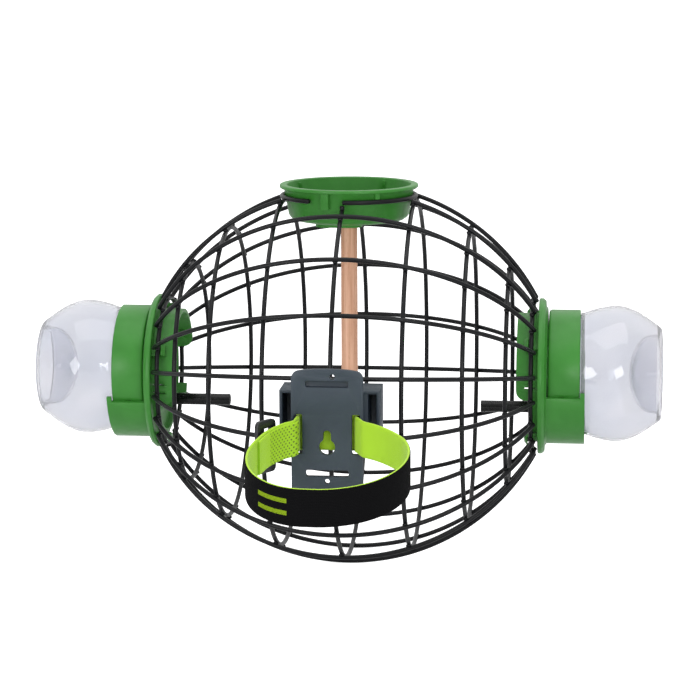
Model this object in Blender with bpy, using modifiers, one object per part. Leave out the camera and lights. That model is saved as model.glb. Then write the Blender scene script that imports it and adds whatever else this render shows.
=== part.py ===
"""Caged bird feeder: a wire globe with a bubble jar in each end port, a lift-off dish on a wooden rod, and a strap plate.

Run with: blender --background --python part.py
Lengths are in metres. +Z is up, X runs along the port axis, and -Y is the side that faces the tree. The origin is the
point of the strap plate that bears on the trunk.
"""

import math

import bmesh
import bpy
from mathutils import Matrix, Vector

MM = 0.001

# Clearances
GAP = 0.3 * MM
TURN_GAP = 0.4 * MM
OVERLAP = 0.5 * MM

# Cage
WIRE_R = 1.5 * MM
LAYER = 2 * WIRE_R + GAP
ARC_R = 137.1 * MM  # radius of the side curve that the ring wires sit on
END_RING_LAP = 10.515 * MM  # the end ring's middle lies this far outside the port's bore
RING_X = (43.5 * MM, 80.0 * MM, 106.0 * MM)
END_RING_X = 121.5 * MM
MERIDIANS = 20
RING_STEPS = 28
MERIDIAN_STEPS = 12

# Opening under the dish
OPENING_R = 44.0 * MM
OPENING_RISE = 0.6 * MM  # from where the nearest rings carry it
OPENING_GAP_DEG = 29.4

# Ports
TIP_SHORT = 0.5245 * MM  # the side wires stop this far short of where they would pass the end ring squarely
FLANGE_LAP = 2.985 * MM  # the flange reaches this far past the end ring's middle
FLANGE_RIM_T = 2.6 * MM
HUB_WALL = 6.7 * MM
HUB_LEN = 5.8 * MM
BORE_R = 38.0 * MM
HOOD_STEP = 3.7 * MM  # from the bore out to the hood's outer face
HOOD_T = 2.5 * MM
HOOD_LEN = 13.8 * MM
HOOD_HALF_DEG = 94.0
HOOD_CORNER_R = 6.6 * MM
LIP_LEN = 3.3 * MM
SLOT_W = 1.2 * MM
SLOT_LEN = 8.3 * MM
SLOT_DEG = (74.4, 82.4)
CRADLE_T = 2.5 * MM
SEAT_RISE = 2.3 * MM  # the collar and jar sit this much above the port axis
CRADLE_LIP_LEN = 3.0 * MM
CRADLE_LIP_RISE = 3.3 * MM
RIB_W = 2.0 * MM
RIB_H = 1.6 * MM
RIB_POS = 9.0 * MM  # from the hub's face
SILL_DROP = 15.0 * MM
SILL_T = 2.5 * MM
HOOK_W = 7.0 * MM
HOOK_T = 2.6 * MM
HOOK_BARB = 2.3 * MM
PORT_TURN_DEG = {"left": 18.5, "right": 8.5}
PORT_STEPS = 32

# Perches
PERCH_R = 3.85 * MM
PERCH_WALL = 1.0 * MM
PERCH_DROP = 22.0 * MM
PERCH_REACH = {"left": 44.0 * MM, "right": 38.3 * MM}
PERCH_BOSS_R = 6.6 * MM
PERCH_BOSS_LEN = 5.0 * MM

# Collars
COLLAR_LEN = 20.6 * MM
COLLAR_STANDOFF = 0.8 * MM
COLLAR_WALL = 3.0 * MM
COLLAR_EDGE_R = 1.6 * MM

# Jars
JAR_STEPS = 24
JAR_WALL = 1.6 * MM
JAR_BEAD_LEN = 1.7 * MM
JAR_BODY_LEN = 51.5 * MM
JAR_MAX_R = 44.7 * MM
JAR_FOOT_R = 28.6 * MM
JAR_PUNT_R = 24.4 * MM
JAR_PUNT_SKIRT = 6.6 * MM
JAR_PUNT_DEPTH = 13.4 * MM
JAR_LUGS = 3
JAR_LUG_W_DEG = 9.0
JAR_LUG_H = 0.9 * MM
JAR_LUG_LEN = 2.2 * MM
JAR_LUG_POS = 3.4 * MM  # from the collar's inner end

# Dish and rod
DISH_STAND = 7.784 * MM  # rim above the middle of the opening ring
DISH_RIM_R = 45.7 * MM
DISH_RIM_T = 2.4 * MM
DISH_WALL = 2.0 * MM
DISH_TOP_R = 42.9 * MM
DISH_FLOOR_R = 40.2 * MM
DISH_DEPTH = 23.6 * MM
DISH_EDGE_R = 6.5 * MM
DISH_STEPS = 32
DISH_RIBS_DEG = (60.0, 150.0, 300.0)
DISH_RIB_W = 3.0 * MM
DISH_KEY_W = 5.0 * MM
DISH_KEY_LEN = 10.0 * MM
DISH_KEY_DEG = 255.0
FOOT_LEN = 31.0 * MM
FOOT_W = 15.0 * MM
FOOT_T = 5.0 * MM
FOOT_SHIFT = 6.7 * MM
ROD_R = 5.5 * MM
ROD_SOCKET = 4.0 * MM
ROD_LEN = 150.0 * MM
ROD_STEPS = 20

# Strap plate
PLATE_SHIFT = 3.0 * MM  # the plate sits this far to +X of the globe's middle
PLATE_W = 43.2 * MM
PLATE_H = 76.6 * MM
PLATE_T = 4.0 * MM
PLATE_CORNER_R = 4.6 * MM
PLATE_CROWN = 1.2 * MM
PLATE_TOP = 24.1 * MM  # above the bearing point
RAIL_CLEAR = 5.2 * MM  # from the strap's tunnel to the holder
GLOBE_DROP = 9.3 * MM  # globe's centre below the bearing point
SLOT_BAND_W = 26.0 * MM
SLOT_BAND_H = 4.0 * MM
SLOT_BAND_FROM_END = 9.0 * MM
PEG_HOLE_R = 1.6 * MM
KEY_HEAD_R = 4.9 * MM
KEY_NECK_R = 2.4 * MM
KEY_NECK_LEN = 8.0 * MM
KEY_Z = -23.4 * MM
STRAP_SLOT_X = 17.4 * MM
STRAP_SLOT_W = 5.0 * MM
STRAP_SLOT_Z = -15.5 * MM
RAIL_NECK_W = 28.0 * MM
RAIL_W = 40.4 * MM
RAIL_T = 3.6 * MM
RAIL_H = 29.0 * MM
STRAP_TUNNEL = 4.4 * MM

# Holder on the cage
HOLDER_W = 61.0 * MM
HOLDER_H = 33.0 * MM
HOLDER_DEPTH = 25.2 * MM
HOLDER_WALL = 2.0 * MM
HOLDER_BACK = 3.0 * MM
HOLDER_TOP = 18.0 * MM  # above the globe's centre
HOLDER_RIB_T = 2.8 * MM
HOLDER_LIP_T = 2.4 * MM
CLAMP_W = 50.0 * MM
CLAMP_H = 26.0 * MM
CLAMP_T = 3.0 * MM
SCREW_SPREAD = 30.0 * MM
SCREW_R = 1.9 * MM
SCREW_HEAD_R = 3.6 * MM
SCREW_HEAD_T = 2.2 * MM

# Strap
STRAP_W = 22.0 * MM
STRAP_T = 2.0 * MM
STRAP_RUN_BACK = 1.1 * MM  # from the plate's back to the strap
LOOP_W = 100.0 * MM
LOOP_DEPTH = 101.0 * MM
LOOP_SHIFT = 4.0 * MM
LOOP_NARROW = 4.0 * MM  # the left side of the loop is pulled in this much
LOOP_DROOP = 0.205
LOOP_LEAN = 0.03  # the left side hangs lower
LOOP_STEPS = 40
BUCKLE_W = 17.0 * MM
BUCKLE_CLEAR = 0.4 * MM  # the strap's play between the bars
BUCKLE_T = 2.6 * MM
BUCKLE_BAR = 4.8 * MM
BUCKLE_STEP = 37

COLOURS = {
    "wire_black": ((0.012, 0.013, 0.015, 1), 0.35, 0.0),
    "green": ((0.045, 0.26, 0.035, 1), 0.35, 0.0),
    "clear": ((0.86, 0.87, 0.93, 1), 0.08, 0.0),
    "wood": ((0.66, 0.36, 0.22, 1), 0.6, 0.0),
    "slate": ((0.035, 0.055, 0.072, 1), 0.4, 0.0),
    "perch_black": ((0.01, 0.01, 0.012, 1), 0.4, 0.0),
    "strap": ((0.013, 0.013, 0.014, 1), 0.85, 0.0),
    "buckle": ((0.01, 0.01, 0.01, 1), 0.35, 0.0),
    "steel": ((0.55, 0.55, 0.56, 1), 0.3, 1.0),
    "lime": ((0.35, 0.62, 0.02, 1), 0.85, 0.0),
}

for old in list(bpy.data.objects):
    bpy.data.objects.remove(old, do_unlink=True)

feeder = bpy.data.collections.new("caged_bird_feeder")
cutters = bpy.data.collections.new("cutters")
for collection in (feeder, cutters):
    bpy.context.scene.collection.children.link(collection)
cutters.hide_render = True

ARC_DROP = math.sqrt(ARC_R**2 - END_RING_X**2) - (BORE_R + END_RING_LAP)  # how far the side curve's centre lies beyond the port axis


def side_radius(x, layer=0.0):
    """Distance of the cage's curve from the port axis, for the ring layer or one further out."""
    return math.sqrt((ARC_R + layer) ** 2 - x * x) - ARC_DROP


# What fits in, seats on or passes through another piece takes its size from that piece.
FLANGE_X = END_RING_X * (1 + LAYER / ARC_R) + WIRE_R + GAP - TIP_SHORT
HUB_R = BORE_R + HUB_WALL
HOOD_R = BORE_R + HOOD_STEP
FLANGE_R = side_radius(END_RING_X) + FLANGE_LAP
OPENING_Z = side_radius(RING_X[0]) + LAYER + OPENING_RISE
DISH_RIM_Z = OPENING_Z + DISH_STAND
CAGE_FRONT = side_radius(0, LAYER) + WIRE_R + GAP
STANDOFF = PLATE_T + STRAP_TUNNEL + RAIL_CLEAR + HOLDER_DEPTH + CAGE_FRONT  # bearing face to the globe's centre
BUCKLE_H = STRAP_W + BUCKLE_CLEAR + 2 * BUCKLE_BAR
GLOBE = Vector((-PLATE_SHIFT, STANDOFF, -GLOBE_DROP))


def material(name):
    found = bpy.data.materials.get(name)
    if found:
        return found
    colour, rough, metal = COLOURS[name]
    made = bpy.data.materials.new(name)
    made.use_nodes = True
    shader = made.node_tree.nodes["Principled BSDF"]
    shader.inputs["Base Color"].default_value = colour
    shader.inputs["Roughness"].default_value = rough
    shader.inputs["Metallic"].default_value = metal
    return made


def finish(obj, look):
    """Gives a piece its material and smooth round sides."""
    obj.data.materials.clear()
    obj.data.materials.append(material(look))
    if obj.type == "MESH":
        obj.data.shade_smooth()
        obj.data.set_sharp_from_angle(angle=math.radians(35))
    return obj


def empty(name, where, parent=None, turn=None):
    made = bpy.data.objects.new(name, None)
    made.empty_display_size = 0.02
    feeder.objects.link(made)
    made.parent = parent
    made.location = where
    if turn is not None:
        made.rotation_euler = turn
    return made


def as_cutter(obj):
    for held in list(obj.users_collection):
        held.objects.unlink(obj)
    cutters.objects.link(obj)
    obj.hide_render = True
    obj.display_type = "WIRE"
    return obj


def boolean(obj, tool, operation):
    modifier = obj.modifiers.new(tool.name, "BOOLEAN")
    modifier.object = tool
    modifier.operation = operation
    modifier.solver = "EXACT"
    as_cutter(tool)
    return obj


def cut(obj, *tools):
    for tool in tools:
        boolean(obj, tool, "DIFFERENCE")
    return obj


def add(obj, *tools):
    for tool in tools:
        boolean(obj, tool, "UNION")
    return obj


def box(name, low, high, parent=None):
    low, high = Vector(low), Vector(high)
    mesh = bpy.data.meshes.new(name)
    work = bmesh.new()
    bmesh.ops.create_cube(work, size=1.0)
    for vertex in work.verts:
        for k in range(3):
            vertex.co[k] = vertex.co[k] * (high[k] - low[k]) + (low[k] + high[k]) / 2
    work.to_mesh(mesh)
    work.free()
    made = bpy.data.objects.new(name, mesh)
    feeder.objects.link(made)
    made.parent = parent
    return made


def cylinder(name, radius, start, end, parent=None, steps=24, end_radius=None):
    """A round bar between two points, or a cone where the end radius differs."""
    start, end = Vector(start), Vector(end)
    mesh = bpy.data.meshes.new(name)
    work = bmesh.new()
    bmesh.ops.create_cone(
        work,
        cap_ends=True,
        segments=steps,
        radius1=radius,
        radius2=radius if end_radius is None else end_radius,
        depth=(end - start).length,
        matrix=Matrix.Translation((start + end) / 2) @ (end - start).to_track_quat("Z", "Y").to_matrix().to_4x4(),
    )
    work.to_mesh(mesh)
    work.free()
    made = bpy.data.objects.new(name, mesh)
    feeder.objects.link(made)
    made.parent = parent
    return made


def turned(name, profile, parent=None, steps=PORT_STEPS):
    """Revolves (radius, height) pairs about local Z. The pairs run down the outer side and up the inner side."""
    mesh = bpy.data.meshes.new(name)
    work = bmesh.new()
    points = [work.verts.new((r, 0, z)) for r, z in profile]
    closed = profile[0][0] > 1e-7 and profile[-1][0] > 1e-7
    for a, b in zip(points, points[1:] + (points[:1] if closed else [])):
        work.edges.new((a, b))
    work.to_mesh(mesh)
    work.free()
    made = bpy.data.objects.new(name, mesh)
    feeder.objects.link(made)
    made.parent = parent
    screw = made.modifiers.new("turn", "SCREW")
    screw.axis = "Z"
    screw.steps = screw.render_steps = steps
    screw.use_merge_vertices = True
    screw.merge_threshold = 1e-6
    screw.use_smooth_shade = True
    return made


def outline(name, loops, low, high, parent=None):
    """A flat outline with its holes, filled and extruded along local Z from low to high."""
    data = bpy.data.curves.new(name, "CURVE")
    data.dimensions = "2D"
    data.fill_mode = "BOTH"
    data.extrude = (high - low) / 2
    for loop in loops:
        spline = data.splines.new("POLY")
        spline.points.add(len(loop) - 1)
        for point, (x, y) in zip(spline.points, loop):
            point.co = (x, y, 0, 1)
        spline.use_cyclic_u = True
    curve = bpy.data.objects.new(name, data)
    feeder.objects.link(curve)
    bpy.context.view_layer.update()
    graph = bpy.context.evaluated_depsgraph_get()
    mesh = bpy.data.meshes.new_from_object(curve.evaluated_get(graph))
    bpy.data.objects.remove(curve, do_unlink=True)
    bpy.data.curves.remove(data)
    work = bmesh.new()
    work.from_mesh(mesh)
    bmesh.ops.remove_doubles(work, verts=work.verts, dist=1e-6)
    bmesh.ops.translate(work, verts=work.verts, vec=(0, 0, (low + high) / 2))
    bmesh.ops.recalc_face_normals(work, faces=work.faces)
    work.to_mesh(mesh)
    work.free()
    made = bpy.data.objects.new(name, mesh)
    feeder.objects.link(made)
    made.parent = parent
    return made


def place(obj, matrix):
    """Moves a mesh by the matrix within its parent's frame and keeps its faces outwards."""
    work = bmesh.new()
    work.from_mesh(obj.data)
    bmesh.ops.transform(work, matrix=Matrix(matrix), verts=work.verts)
    bmesh.ops.recalc_face_normals(work, faces=work.faces)
    work.to_mesh(obj.data)
    work.free()
    return obj


def wire(name, points, parent, closed=False):
    """A round wire through the points."""
    data = bpy.data.curves.new(name, "CURVE")
    data.dimensions = "3D"
    data.bevel_depth = WIRE_R
    data.bevel_resolution = 1
    data.use_fill_caps = True
    spline = data.splines.new("POLY")
    spline.points.add(len(points) - 1)
    for point, where in zip(spline.points, points):
        point.co = (*where, 1)
    spline.use_cyclic_u = closed
    made = bpy.data.objects.new(name, data)
    feeder.objects.link(made)
    made.parent = parent
    return finish(made, "wire_black")


def arc(radius, start, end, steps, centre=(0, 0)):
    """Points from start to end in degrees."""
    return [
        (centre[0] + radius * math.cos(math.radians(start + (end - start) * k / steps)),
         centre[1] + radius * math.sin(math.radians(start + (end - start) * k / steps)))
        for k in range(steps + 1)
    ]


def sector(inner, outer, half, middle=0.0, step=360 / PORT_STEPS):
    """Outline of a ring's part that spans half degrees to each side of the middle."""
    count = max(2, math.ceil(2 * half / step))
    return arc(outer, middle - half, middle + half, count) + arc(inner, middle + half, middle - half, count)


def rounded(width, height, radius, steps=4, centre=(0, 0)):
    x, y = width / 2 - radius, height / 2 - radius
    points = []
    for cx, cy, start in ((x, y, 0), (-x, y, 90), (-x, -y, 180), (x, -y, 270)):
        points += arc(radius, start, start + 90, steps, (centre[0] + cx, centre[1] + cy))
    return points


# ---------------------------------------------------------------- cage
cage = empty("cage_axis", GLOBE)


def ring_point(x, radius, degrees):
    """Degrees from the top, towards -Y."""
    a = math.radians(degrees)
    return (x, -radius * math.sin(a), radius * math.cos(a))


ring_number = 1
for x in [-v for v in reversed(RING_X)] + [0.0] + list(RING_X):
    radius = side_radius(x)
    name = f"cage_ring_{ring_number}"
    ring_number += 1
    if x:
        points = [ring_point(x, radius, 360 * k / RING_STEPS) for k in range(RING_STEPS)]
        wire(name, points, cage, closed=True)
        continue
    start = math.degrees(math.asin(OPENING_R / radius))
    steps = RING_STEPS - 4
    points = [ring_point(0, radius, start + (360 - 2 * start) * k / steps) for k in range(steps + 1)]
    top = OPENING_Z - WIRE_R - GAP
    points = [(0, points[0][1], top)] + points + [(0, points[-1][1], top)]
    wire(name, points, cage)

for side, sign in (("left", -1), ("right", 1)):
    radius = side_radius(END_RING_X)
    points = [ring_point(sign * END_RING_X, radius, 360 * k / RING_STEPS) for k in range(RING_STEPS)]
    wire(f"end_ring_{side}", points, cage, closed=True)

points = [(x, y, OPENING_Z) for x, y in arc(OPENING_R, -90, 270 - OPENING_GAP_DEG, RING_STEPS)]
wire("opening_ring", points, cage)

tip = math.asin((FLANGE_X - GAP - WIRE_R) / (ARC_R + LAYER))
number = 1
for k in range(MERIDIANS):
    degrees = 360 / MERIDIANS * (k + 0.5)

    def meridian_point(t):
        along = (ARC_R + LAYER) * math.sin(t)
        return ring_point(along, (ARC_R + LAYER) * math.cos(t) - ARC_DROP, degrees)

    off = abs(math.sin(math.radians(degrees))) * ((ARC_R + LAYER) - ARC_DROP)
    reach = OPENING_R + WIRE_R + GAP
    crosses = math.cos(math.radians(degrees)) > 0 and off < reach
    if not crosses:
        points = [meridian_point(-tip + 2 * tip * j / MERIDIAN_STEPS) for j in range(MERIDIAN_STEPS + 1)]
        wire(f"meridian_{number:02d}", points, cage)
        number += 1
        continue
    low, high = 0.0, tip
    for _ in range(50):
        middle = (low + high) / 2
        x, y, _z = meridian_point(middle)
        slope = WIRE_R * math.sin(middle)
        low, high = (middle, high) if math.hypot(x, y) - slope < reach else (low, middle)
    half_steps = MERIDIAN_STEPS // 2
    for suffix, sign in (("left", -1), ("right", 1)):
        points = [meridian_point(sign * (high + (tip - high) * j / half_steps)) for j in range(half_steps + 1)]
        wire(f"meridian_{number:02d}_{suffix}", points, cage)
    number += 1

# ---------------------------------------------------------------- ports, collars and jars
END_RING_INNER = side_radius(END_RING_X) - WIRE_R
HOOK_R = END_RING_INNER * math.cos(math.pi / RING_STEPS) - GAP - 0.15 * MM
RING_BACK = END_RING_X - WIRE_R - FLANGE_X  # along the port's outward axis, from the flange's face
CRADLE_IN = HUB_R - CRADLE_T
COLLAR_OUT = CRADLE_IN - GAP
COLLAR_IN = COLLAR_OUT - COLLAR_WALL
NECK_R = COLLAR_IN - TURN_GAP
COLLAR_LOW = HUB_LEN + COLLAR_STANDOFF
COLLAR_HIGH = COLLAR_LOW + COLLAR_LEN
BEAD_LOW = COLLAR_HIGH + GAP
BEAD_R = COLLAR_IN + 0.9 * MM
CRADLE_HIGH = BEAD_LOW + CRADLE_LIP_LEN
RIB_LOW = HUB_LEN + RIB_POS


def jar_profile():
    """Down the outside from the foot to the neck, then back up the inside."""
    low, bead = BEAD_LOW + JAR_BEAD_LEN, BEAD_R
    end = low + JAR_BODY_LEN
    rising = ((0.03, 0.12), (0.08, 0.30), (0.15, 0.54), (0.26, 0.82), (0.39, 1.0))
    falling = ((0.51, 0.97), (0.61, 0.87), (0.70, 0.745), (0.79, 0.57), (0.88, 0.37), (0.94, 0.235), (0.98, 0.115), (1.0, 0.0))
    outer = [(bead + (JAR_MAX_R - bead) * rise, low + JAR_BODY_LEN * along) for along, rise in rising]
    outer += [(JAR_FOOT_R + (JAR_MAX_R - JAR_FOOT_R) * fall, low + JAR_BODY_LEN * along) for along, fall in falling]
    dome = []
    steps = 4
    for k in range(steps + 1):
        a = math.pi / 2 * k / steps
        dome.append((JAR_PUNT_R * math.cos(a), end - JAR_PUNT_SKIRT - JAR_PUNT_DEPTH * math.sin(a)))
    dome[-1] = (0.0, dome[-1][1])
    out = [dome[k] for k in range(steps, -1, -1)] + [(JAR_PUNT_R + 1.0 * MM, end - 0.6 * MM)]
    out += list(reversed(outer)) + [(bead, low), (bead, BEAD_LOW), (NECK_R, BEAD_LOW), (NECK_R, COLLAR_LOW + 0.2 * MM)]
    inner = [(NECK_R - JAR_WALL, COLLAR_LOW + 0.2 * MM), (NECK_R - JAR_WALL, BEAD_LOW)]
    inner += [(bead - JAR_WALL - 0.6 * MM, low)]
    inner += [(r - JAR_WALL, z) for r, z in outer[1:-3]]
    inner += [(JAR_FOOT_R + 2.6 * MM, end - 3.6 * MM), (JAR_PUNT_R + 2.2 * MM, end - 2.6 * MM)]
    inner += [(JAR_PUNT_R + JAR_WALL, end - JAR_PUNT_SKIRT - 0.6 * MM)]
    for k in range(1, steps + 1):
        a = math.pi / 2 * k / steps
        inner.append(((JAR_PUNT_R + JAR_WALL) * math.cos(a), end - JAR_PUNT_SKIRT - (JAR_PUNT_DEPTH + JAR_WALL) * math.sin(a)))
    inner[-1] = (0.0, inner[-1][1])
    return out + inner


for side, sign in (("left", -1), ("right", 1)):
    # Local Z points out along the port axis and local X is the port's own up.
    port = empty(f"port_axis_{side}", (sign * FLANGE_X, 0, 0), cage)
    basis = Matrix(((0, 0, sign), (0, -sign, 0), (1, 0, 0)))
    turn = Matrix.Rotation(math.radians(PORT_TURN_DEG[side]), 3, "X")
    port.rotation_euler = (turn @ basis).to_euler()

    hood_in = HOOD_R - HOOD_T
    body = turned(
        f"port_{side}",
        [
            (HUB_R, CRADLE_HIGH),
            (HUB_R, HUB_LEN),
            (HUB_R + 0.25 * (FLANGE_R - HUB_R), HUB_LEN - 1.1 * MM),
            (FLANGE_R - 1.6 * MM, FLANGE_RIM_T + 1.9 * MM),
            (FLANGE_R, FLANGE_RIM_T),
            (FLANGE_R, 0.5 * MM),
            (FLANGE_R - 0.5 * MM, 0.0),
            (HOOD_R, 0.0),
            (HOOD_R, -HOOD_LEN),
            (hood_in, -HOOD_LEN),
            (hood_in, 0.0),
            (BORE_R, 0.0),
            (BORE_R, HUB_LEN),
            (BORE_R + 0.2 * MM, HUB_LEN + 0.2 * MM),
            (BORE_R + 0.2 * MM, CRADLE_HIGH),
        ],
        port,
    )
    wide = FLANGE_R + 5 * MM
    seat = empty(f"seat_axis_{side}", (SEAT_RISE, 0, 0), port)
    hollow = turned(
        f"seat_hollow_{side}",
        [
            (0.0, CRADLE_HIGH + 2 * MM),
            (CRADLE_IN, CRADLE_HIGH + 2 * MM),
            (CRADLE_IN, RIB_LOW + RIB_W),
            (CRADLE_IN - RIB_H, RIB_LOW + RIB_W),
            (CRADLE_IN - RIB_H, RIB_LOW),
            (CRADLE_IN, RIB_LOW),
            (CRADLE_IN, HUB_LEN),
            (0.0, HUB_LEN),
        ],
        seat,
    )
    hood_edge = -HOOD_R * math.sin(math.radians(HOOD_HALF_DEG - 90))
    cut(
        body,
        box(f"open_top_{side}", (0, -wide, HUB_LEN), (wide, wide, CRADLE_HIGH - CRADLE_LIP_LEN), port),
        box(f"open_end_{side}", (CRADLE_LIP_RISE, -wide, CRADLE_HIGH - CRADLE_LIP_LEN - 0.01 * MM), (wide, wide, CRADLE_HIGH + 2 * MM), port),
        box(f"open_low_{side}", (-wide, -wide, -HOOD_LEN - 2 * MM), (hood_edge, wide, -LIP_LEN), port),
        hollow,
    )
    for hand in (-1, 1):
        corner = outline(
            f"hood_corner_{side}_{hand}",
            [
                [(-2.0 * MM, -2.0 * MM), (HOOD_CORNER_R, -2.0 * MM)]
                + arc(HOOD_CORNER_R, -90, -180, 5, (HOOD_CORNER_R, HOOD_CORNER_R))
                + [(-2.0 * MM, HOOD_CORNER_R)]
            ],
            hood_in - 4.0 * MM,
            HOOD_R + 2.0 * MM,
            port,
        )
        # The outline's x runs up the hood, its y along the axis and its thickness through the wall.
        place(corner, ((1, 0, 0, hood_edge), (0, 0, hand, 0), (0, 1, 0, -HOOD_LEN), (0, 0, 0, 1)))
        cut(body, corner)
        for n, degrees in enumerate(SLOT_DEG):
            slot = box(
                f"slot_{side}_{hand}_{n}",
                (hood_in - 2.0 * MM, -SLOT_W / 2, -SLOT_LEN),
                (HOOD_R + 2.0 * MM, SLOT_W / 2, -0.2 * MM),
                port,
            )
            slot.rotation_euler = (0, 0, math.radians(degrees) * hand)
            cut(body, slot)
    half = math.degrees(math.acos(SILL_DROP / (BORE_R + 0.6 * MM)))
    sill = outline(f"sill_{side}", [arc(BORE_R + 0.6 * MM, 180 - half, 180 + half, 10)], 0.3 * MM, SILL_T, port)
    boss = cylinder(
        f"perch_boss_{side}", PERCH_BOSS_R, (-PERCH_DROP, 0, -PERCH_BOSS_LEN), (-PERCH_DROP, 0, SILL_T - 0.4 * MM), port
    )
    add(body, sill, boss)
    for n in range(4):
        back = RING_BACK - 2 * GAP
        hook = outline(
            f"hook_{side}_{n}",
            [
                [
                    (HOOK_R, OVERLAP),
                    (HOOK_R - HOOK_T, OVERLAP),
                    (HOOK_R - HOOK_T, back - HOOK_BARB),
                    (HOOK_R, back - HOOK_BARB),
                    (HOOK_R + HOOK_BARB, back - 0.6 * MM),
                    (HOOK_R + HOOK_BARB, back),
                    (HOOK_R, back),
                ]
            ],
            -HOOK_W / 2,
            HOOK_W / 2,
            port,
        )
        spin = Matrix.Rotation(math.radians(45 + 90 * n), 4, "Z")
        place(hook, spin @ Matrix(((1, 0, 0, 0), (0, 0, 1, 0), (0, 1, 0, 0), (0, 0, 0, 1))))
        add(body, hook)
    cut(body, cylinder(f"perch_hole_{side}", PERCH_R + GAP, (-PERCH_DROP, 0, -PERCH_BOSS_LEN - 2 * MM), (-PERCH_DROP, 0, SILL_T + 2 * MM), port, 16))
    finish(body, "green")

    perch = cylinder(f"perch_{side}", PERCH_R, (-PERCH_DROP, 0, -PERCH_REACH[side]), (-PERCH_DROP, 0, SILL_T - 0.4 * MM), port, 16)
    cut(
        perch,
        cylinder(
            f"perch_bore_{side}", PERCH_R - PERCH_WALL,
            (-PERCH_DROP, 0, -PERCH_REACH[side] - 2 * MM), (-PERCH_DROP, 0, SILL_T + 2 * MM), port, 16,
        ),
    )
    finish(perch, "perch_black")

    groove = COLLAR_OUT - RIB_H - GAP
    low, high = COLLAR_LOW, COLLAR_HIGH
    collar = turned(
        f"collar_{side}",
        [
            (COLLAR_OUT - 0.5 * MM, high),
            (COLLAR_OUT, high - 0.5 * MM),
            (COLLAR_OUT, low + COLLAR_EDGE_R),
            (COLLAR_OUT - 0.3 * COLLAR_EDGE_R, low + 0.3 * COLLAR_EDGE_R),
            (COLLAR_OUT - COLLAR_EDGE_R, low),
            (COLLAR_IN, low),
            (COLLAR_IN, low + JAR_LUG_POS - GAP),
            (COLLAR_IN + JAR_LUG_H, low + JAR_LUG_POS - GAP),
            (COLLAR_IN + JAR_LUG_H, low + JAR_LUG_POS + JAR_LUG_LEN + GAP),
            (COLLAR_IN, low + JAR_LUG_POS + JAR_LUG_LEN + GAP),
            (COLLAR_IN, high),
        ],
        seat,
    )
    nest = turned(
        f"nest_{side}",
        [
            (HUB_R + 3 * MM, RIB_LOW + RIB_W + GAP),
            (HUB_R + 3 * MM, RIB_LOW - GAP),
            (groove, RIB_LOW - GAP),
            (groove, RIB_LOW + RIB_W + GAP),
        ],
        seat,
    )
    cut(nest, box(f"nest_top_{side}", (GAP, -wide, low - 4 * MM), (wide, wide, high + 4 * MM), port))
    cut(collar, nest)
    for n in range(JAR_LUGS):
        entry = box(
            f"entry_{side}_{n}",
            (COLLAR_IN - 3 * MM, -COLLAR_IN * math.radians(JAR_LUG_W_DEG) / 2 - 1.0 * MM, low + JAR_LUG_POS),
            (COLLAR_IN + JAR_LUG_H, COLLAR_IN * math.radians(JAR_LUG_W_DEG) / 2 + 1.0 * MM, high + 3 * MM),
            seat,
        )
        entry.rotation_euler = (0, 0, math.radians(360 / JAR_LUGS * (n + 0.5)))
        cut(collar, entry)
    finish(collar, "green")

    jar = turned(f"jar_{side}", jar_profile(), seat, JAR_STEPS)
    for n in range(JAR_LUGS):
        lug = outline(
            f"lug_{side}_{n}",
            [sector(NECK_R - 0.8 * MM, COLLAR_IN + JAR_LUG_H - TURN_GAP, JAR_LUG_W_DEG / 2, 360 / JAR_LUGS * n, 4.5)],
            low + JAR_LUG_POS,
            low + JAR_LUG_POS + JAR_LUG_LEN,
            seat,
        )
        add(jar, lug)
    finish(jar, "clear")

# ---------------------------------------------------------------- dish and rod
rim = DISH_RIM_Z
floor = rim - DISH_DEPTH
dish_axis = empty("dish_axis", (0, 0, 0), cage)
edge = [(DISH_FLOOR_R - DISH_EDGE_R + DISH_EDGE_R * math.cos(math.radians(a)), floor + DISH_EDGE_R - DISH_EDGE_R * math.sin(math.radians(a))) for a in (0, 22.5, 45, 67.5, 90)]
inner_r = DISH_EDGE_R - DISH_WALL
inner_edge = [(DISH_FLOOR_R - DISH_EDGE_R + inner_r * math.cos(math.radians(a)), floor + DISH_EDGE_R - inner_r * math.sin(math.radians(a))) for a in (90, 45, 0)]
dish = turned(
    "dish",
    [
        (DISH_RIM_R - 0.6 * MM, rim),
        (DISH_RIM_R, rim - 0.6 * MM),
        (DISH_RIM_R, rim - DISH_RIM_T + 0.6 * MM),
        (DISH_RIM_R - 0.6 * MM, rim - DISH_RIM_T),
        (DISH_TOP_R, rim - DISH_RIM_T),
    ]
    + edge
    + [(0.0, floor), (0.0, floor + DISH_WALL)]
    + inner_edge
    + [(DISH_TOP_R - DISH_WALL, rim - 0.5 * MM), (DISH_TOP_R - DISH_WALL + 0.5 * MM, rim)],
    dish_axis,
    DISH_STEPS,
)
# The profile starts and ends on the rim, so it is closed there by hand.
ends = bmesh.new()
ends.from_mesh(dish.data)
ends.verts.ensure_lookup_table()
if ends.edges.get((ends.verts[-1], ends.verts[0])) is None:
    ends.edges.new((ends.verts[-1], ends.verts[0]))
for spare in [e for e in ends.edges if all(v.co.x < 1e-7 for v in e.verts)]:
    ends.edges.remove(spare)
ends.to_mesh(dish.data)
ends.free()

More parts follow.
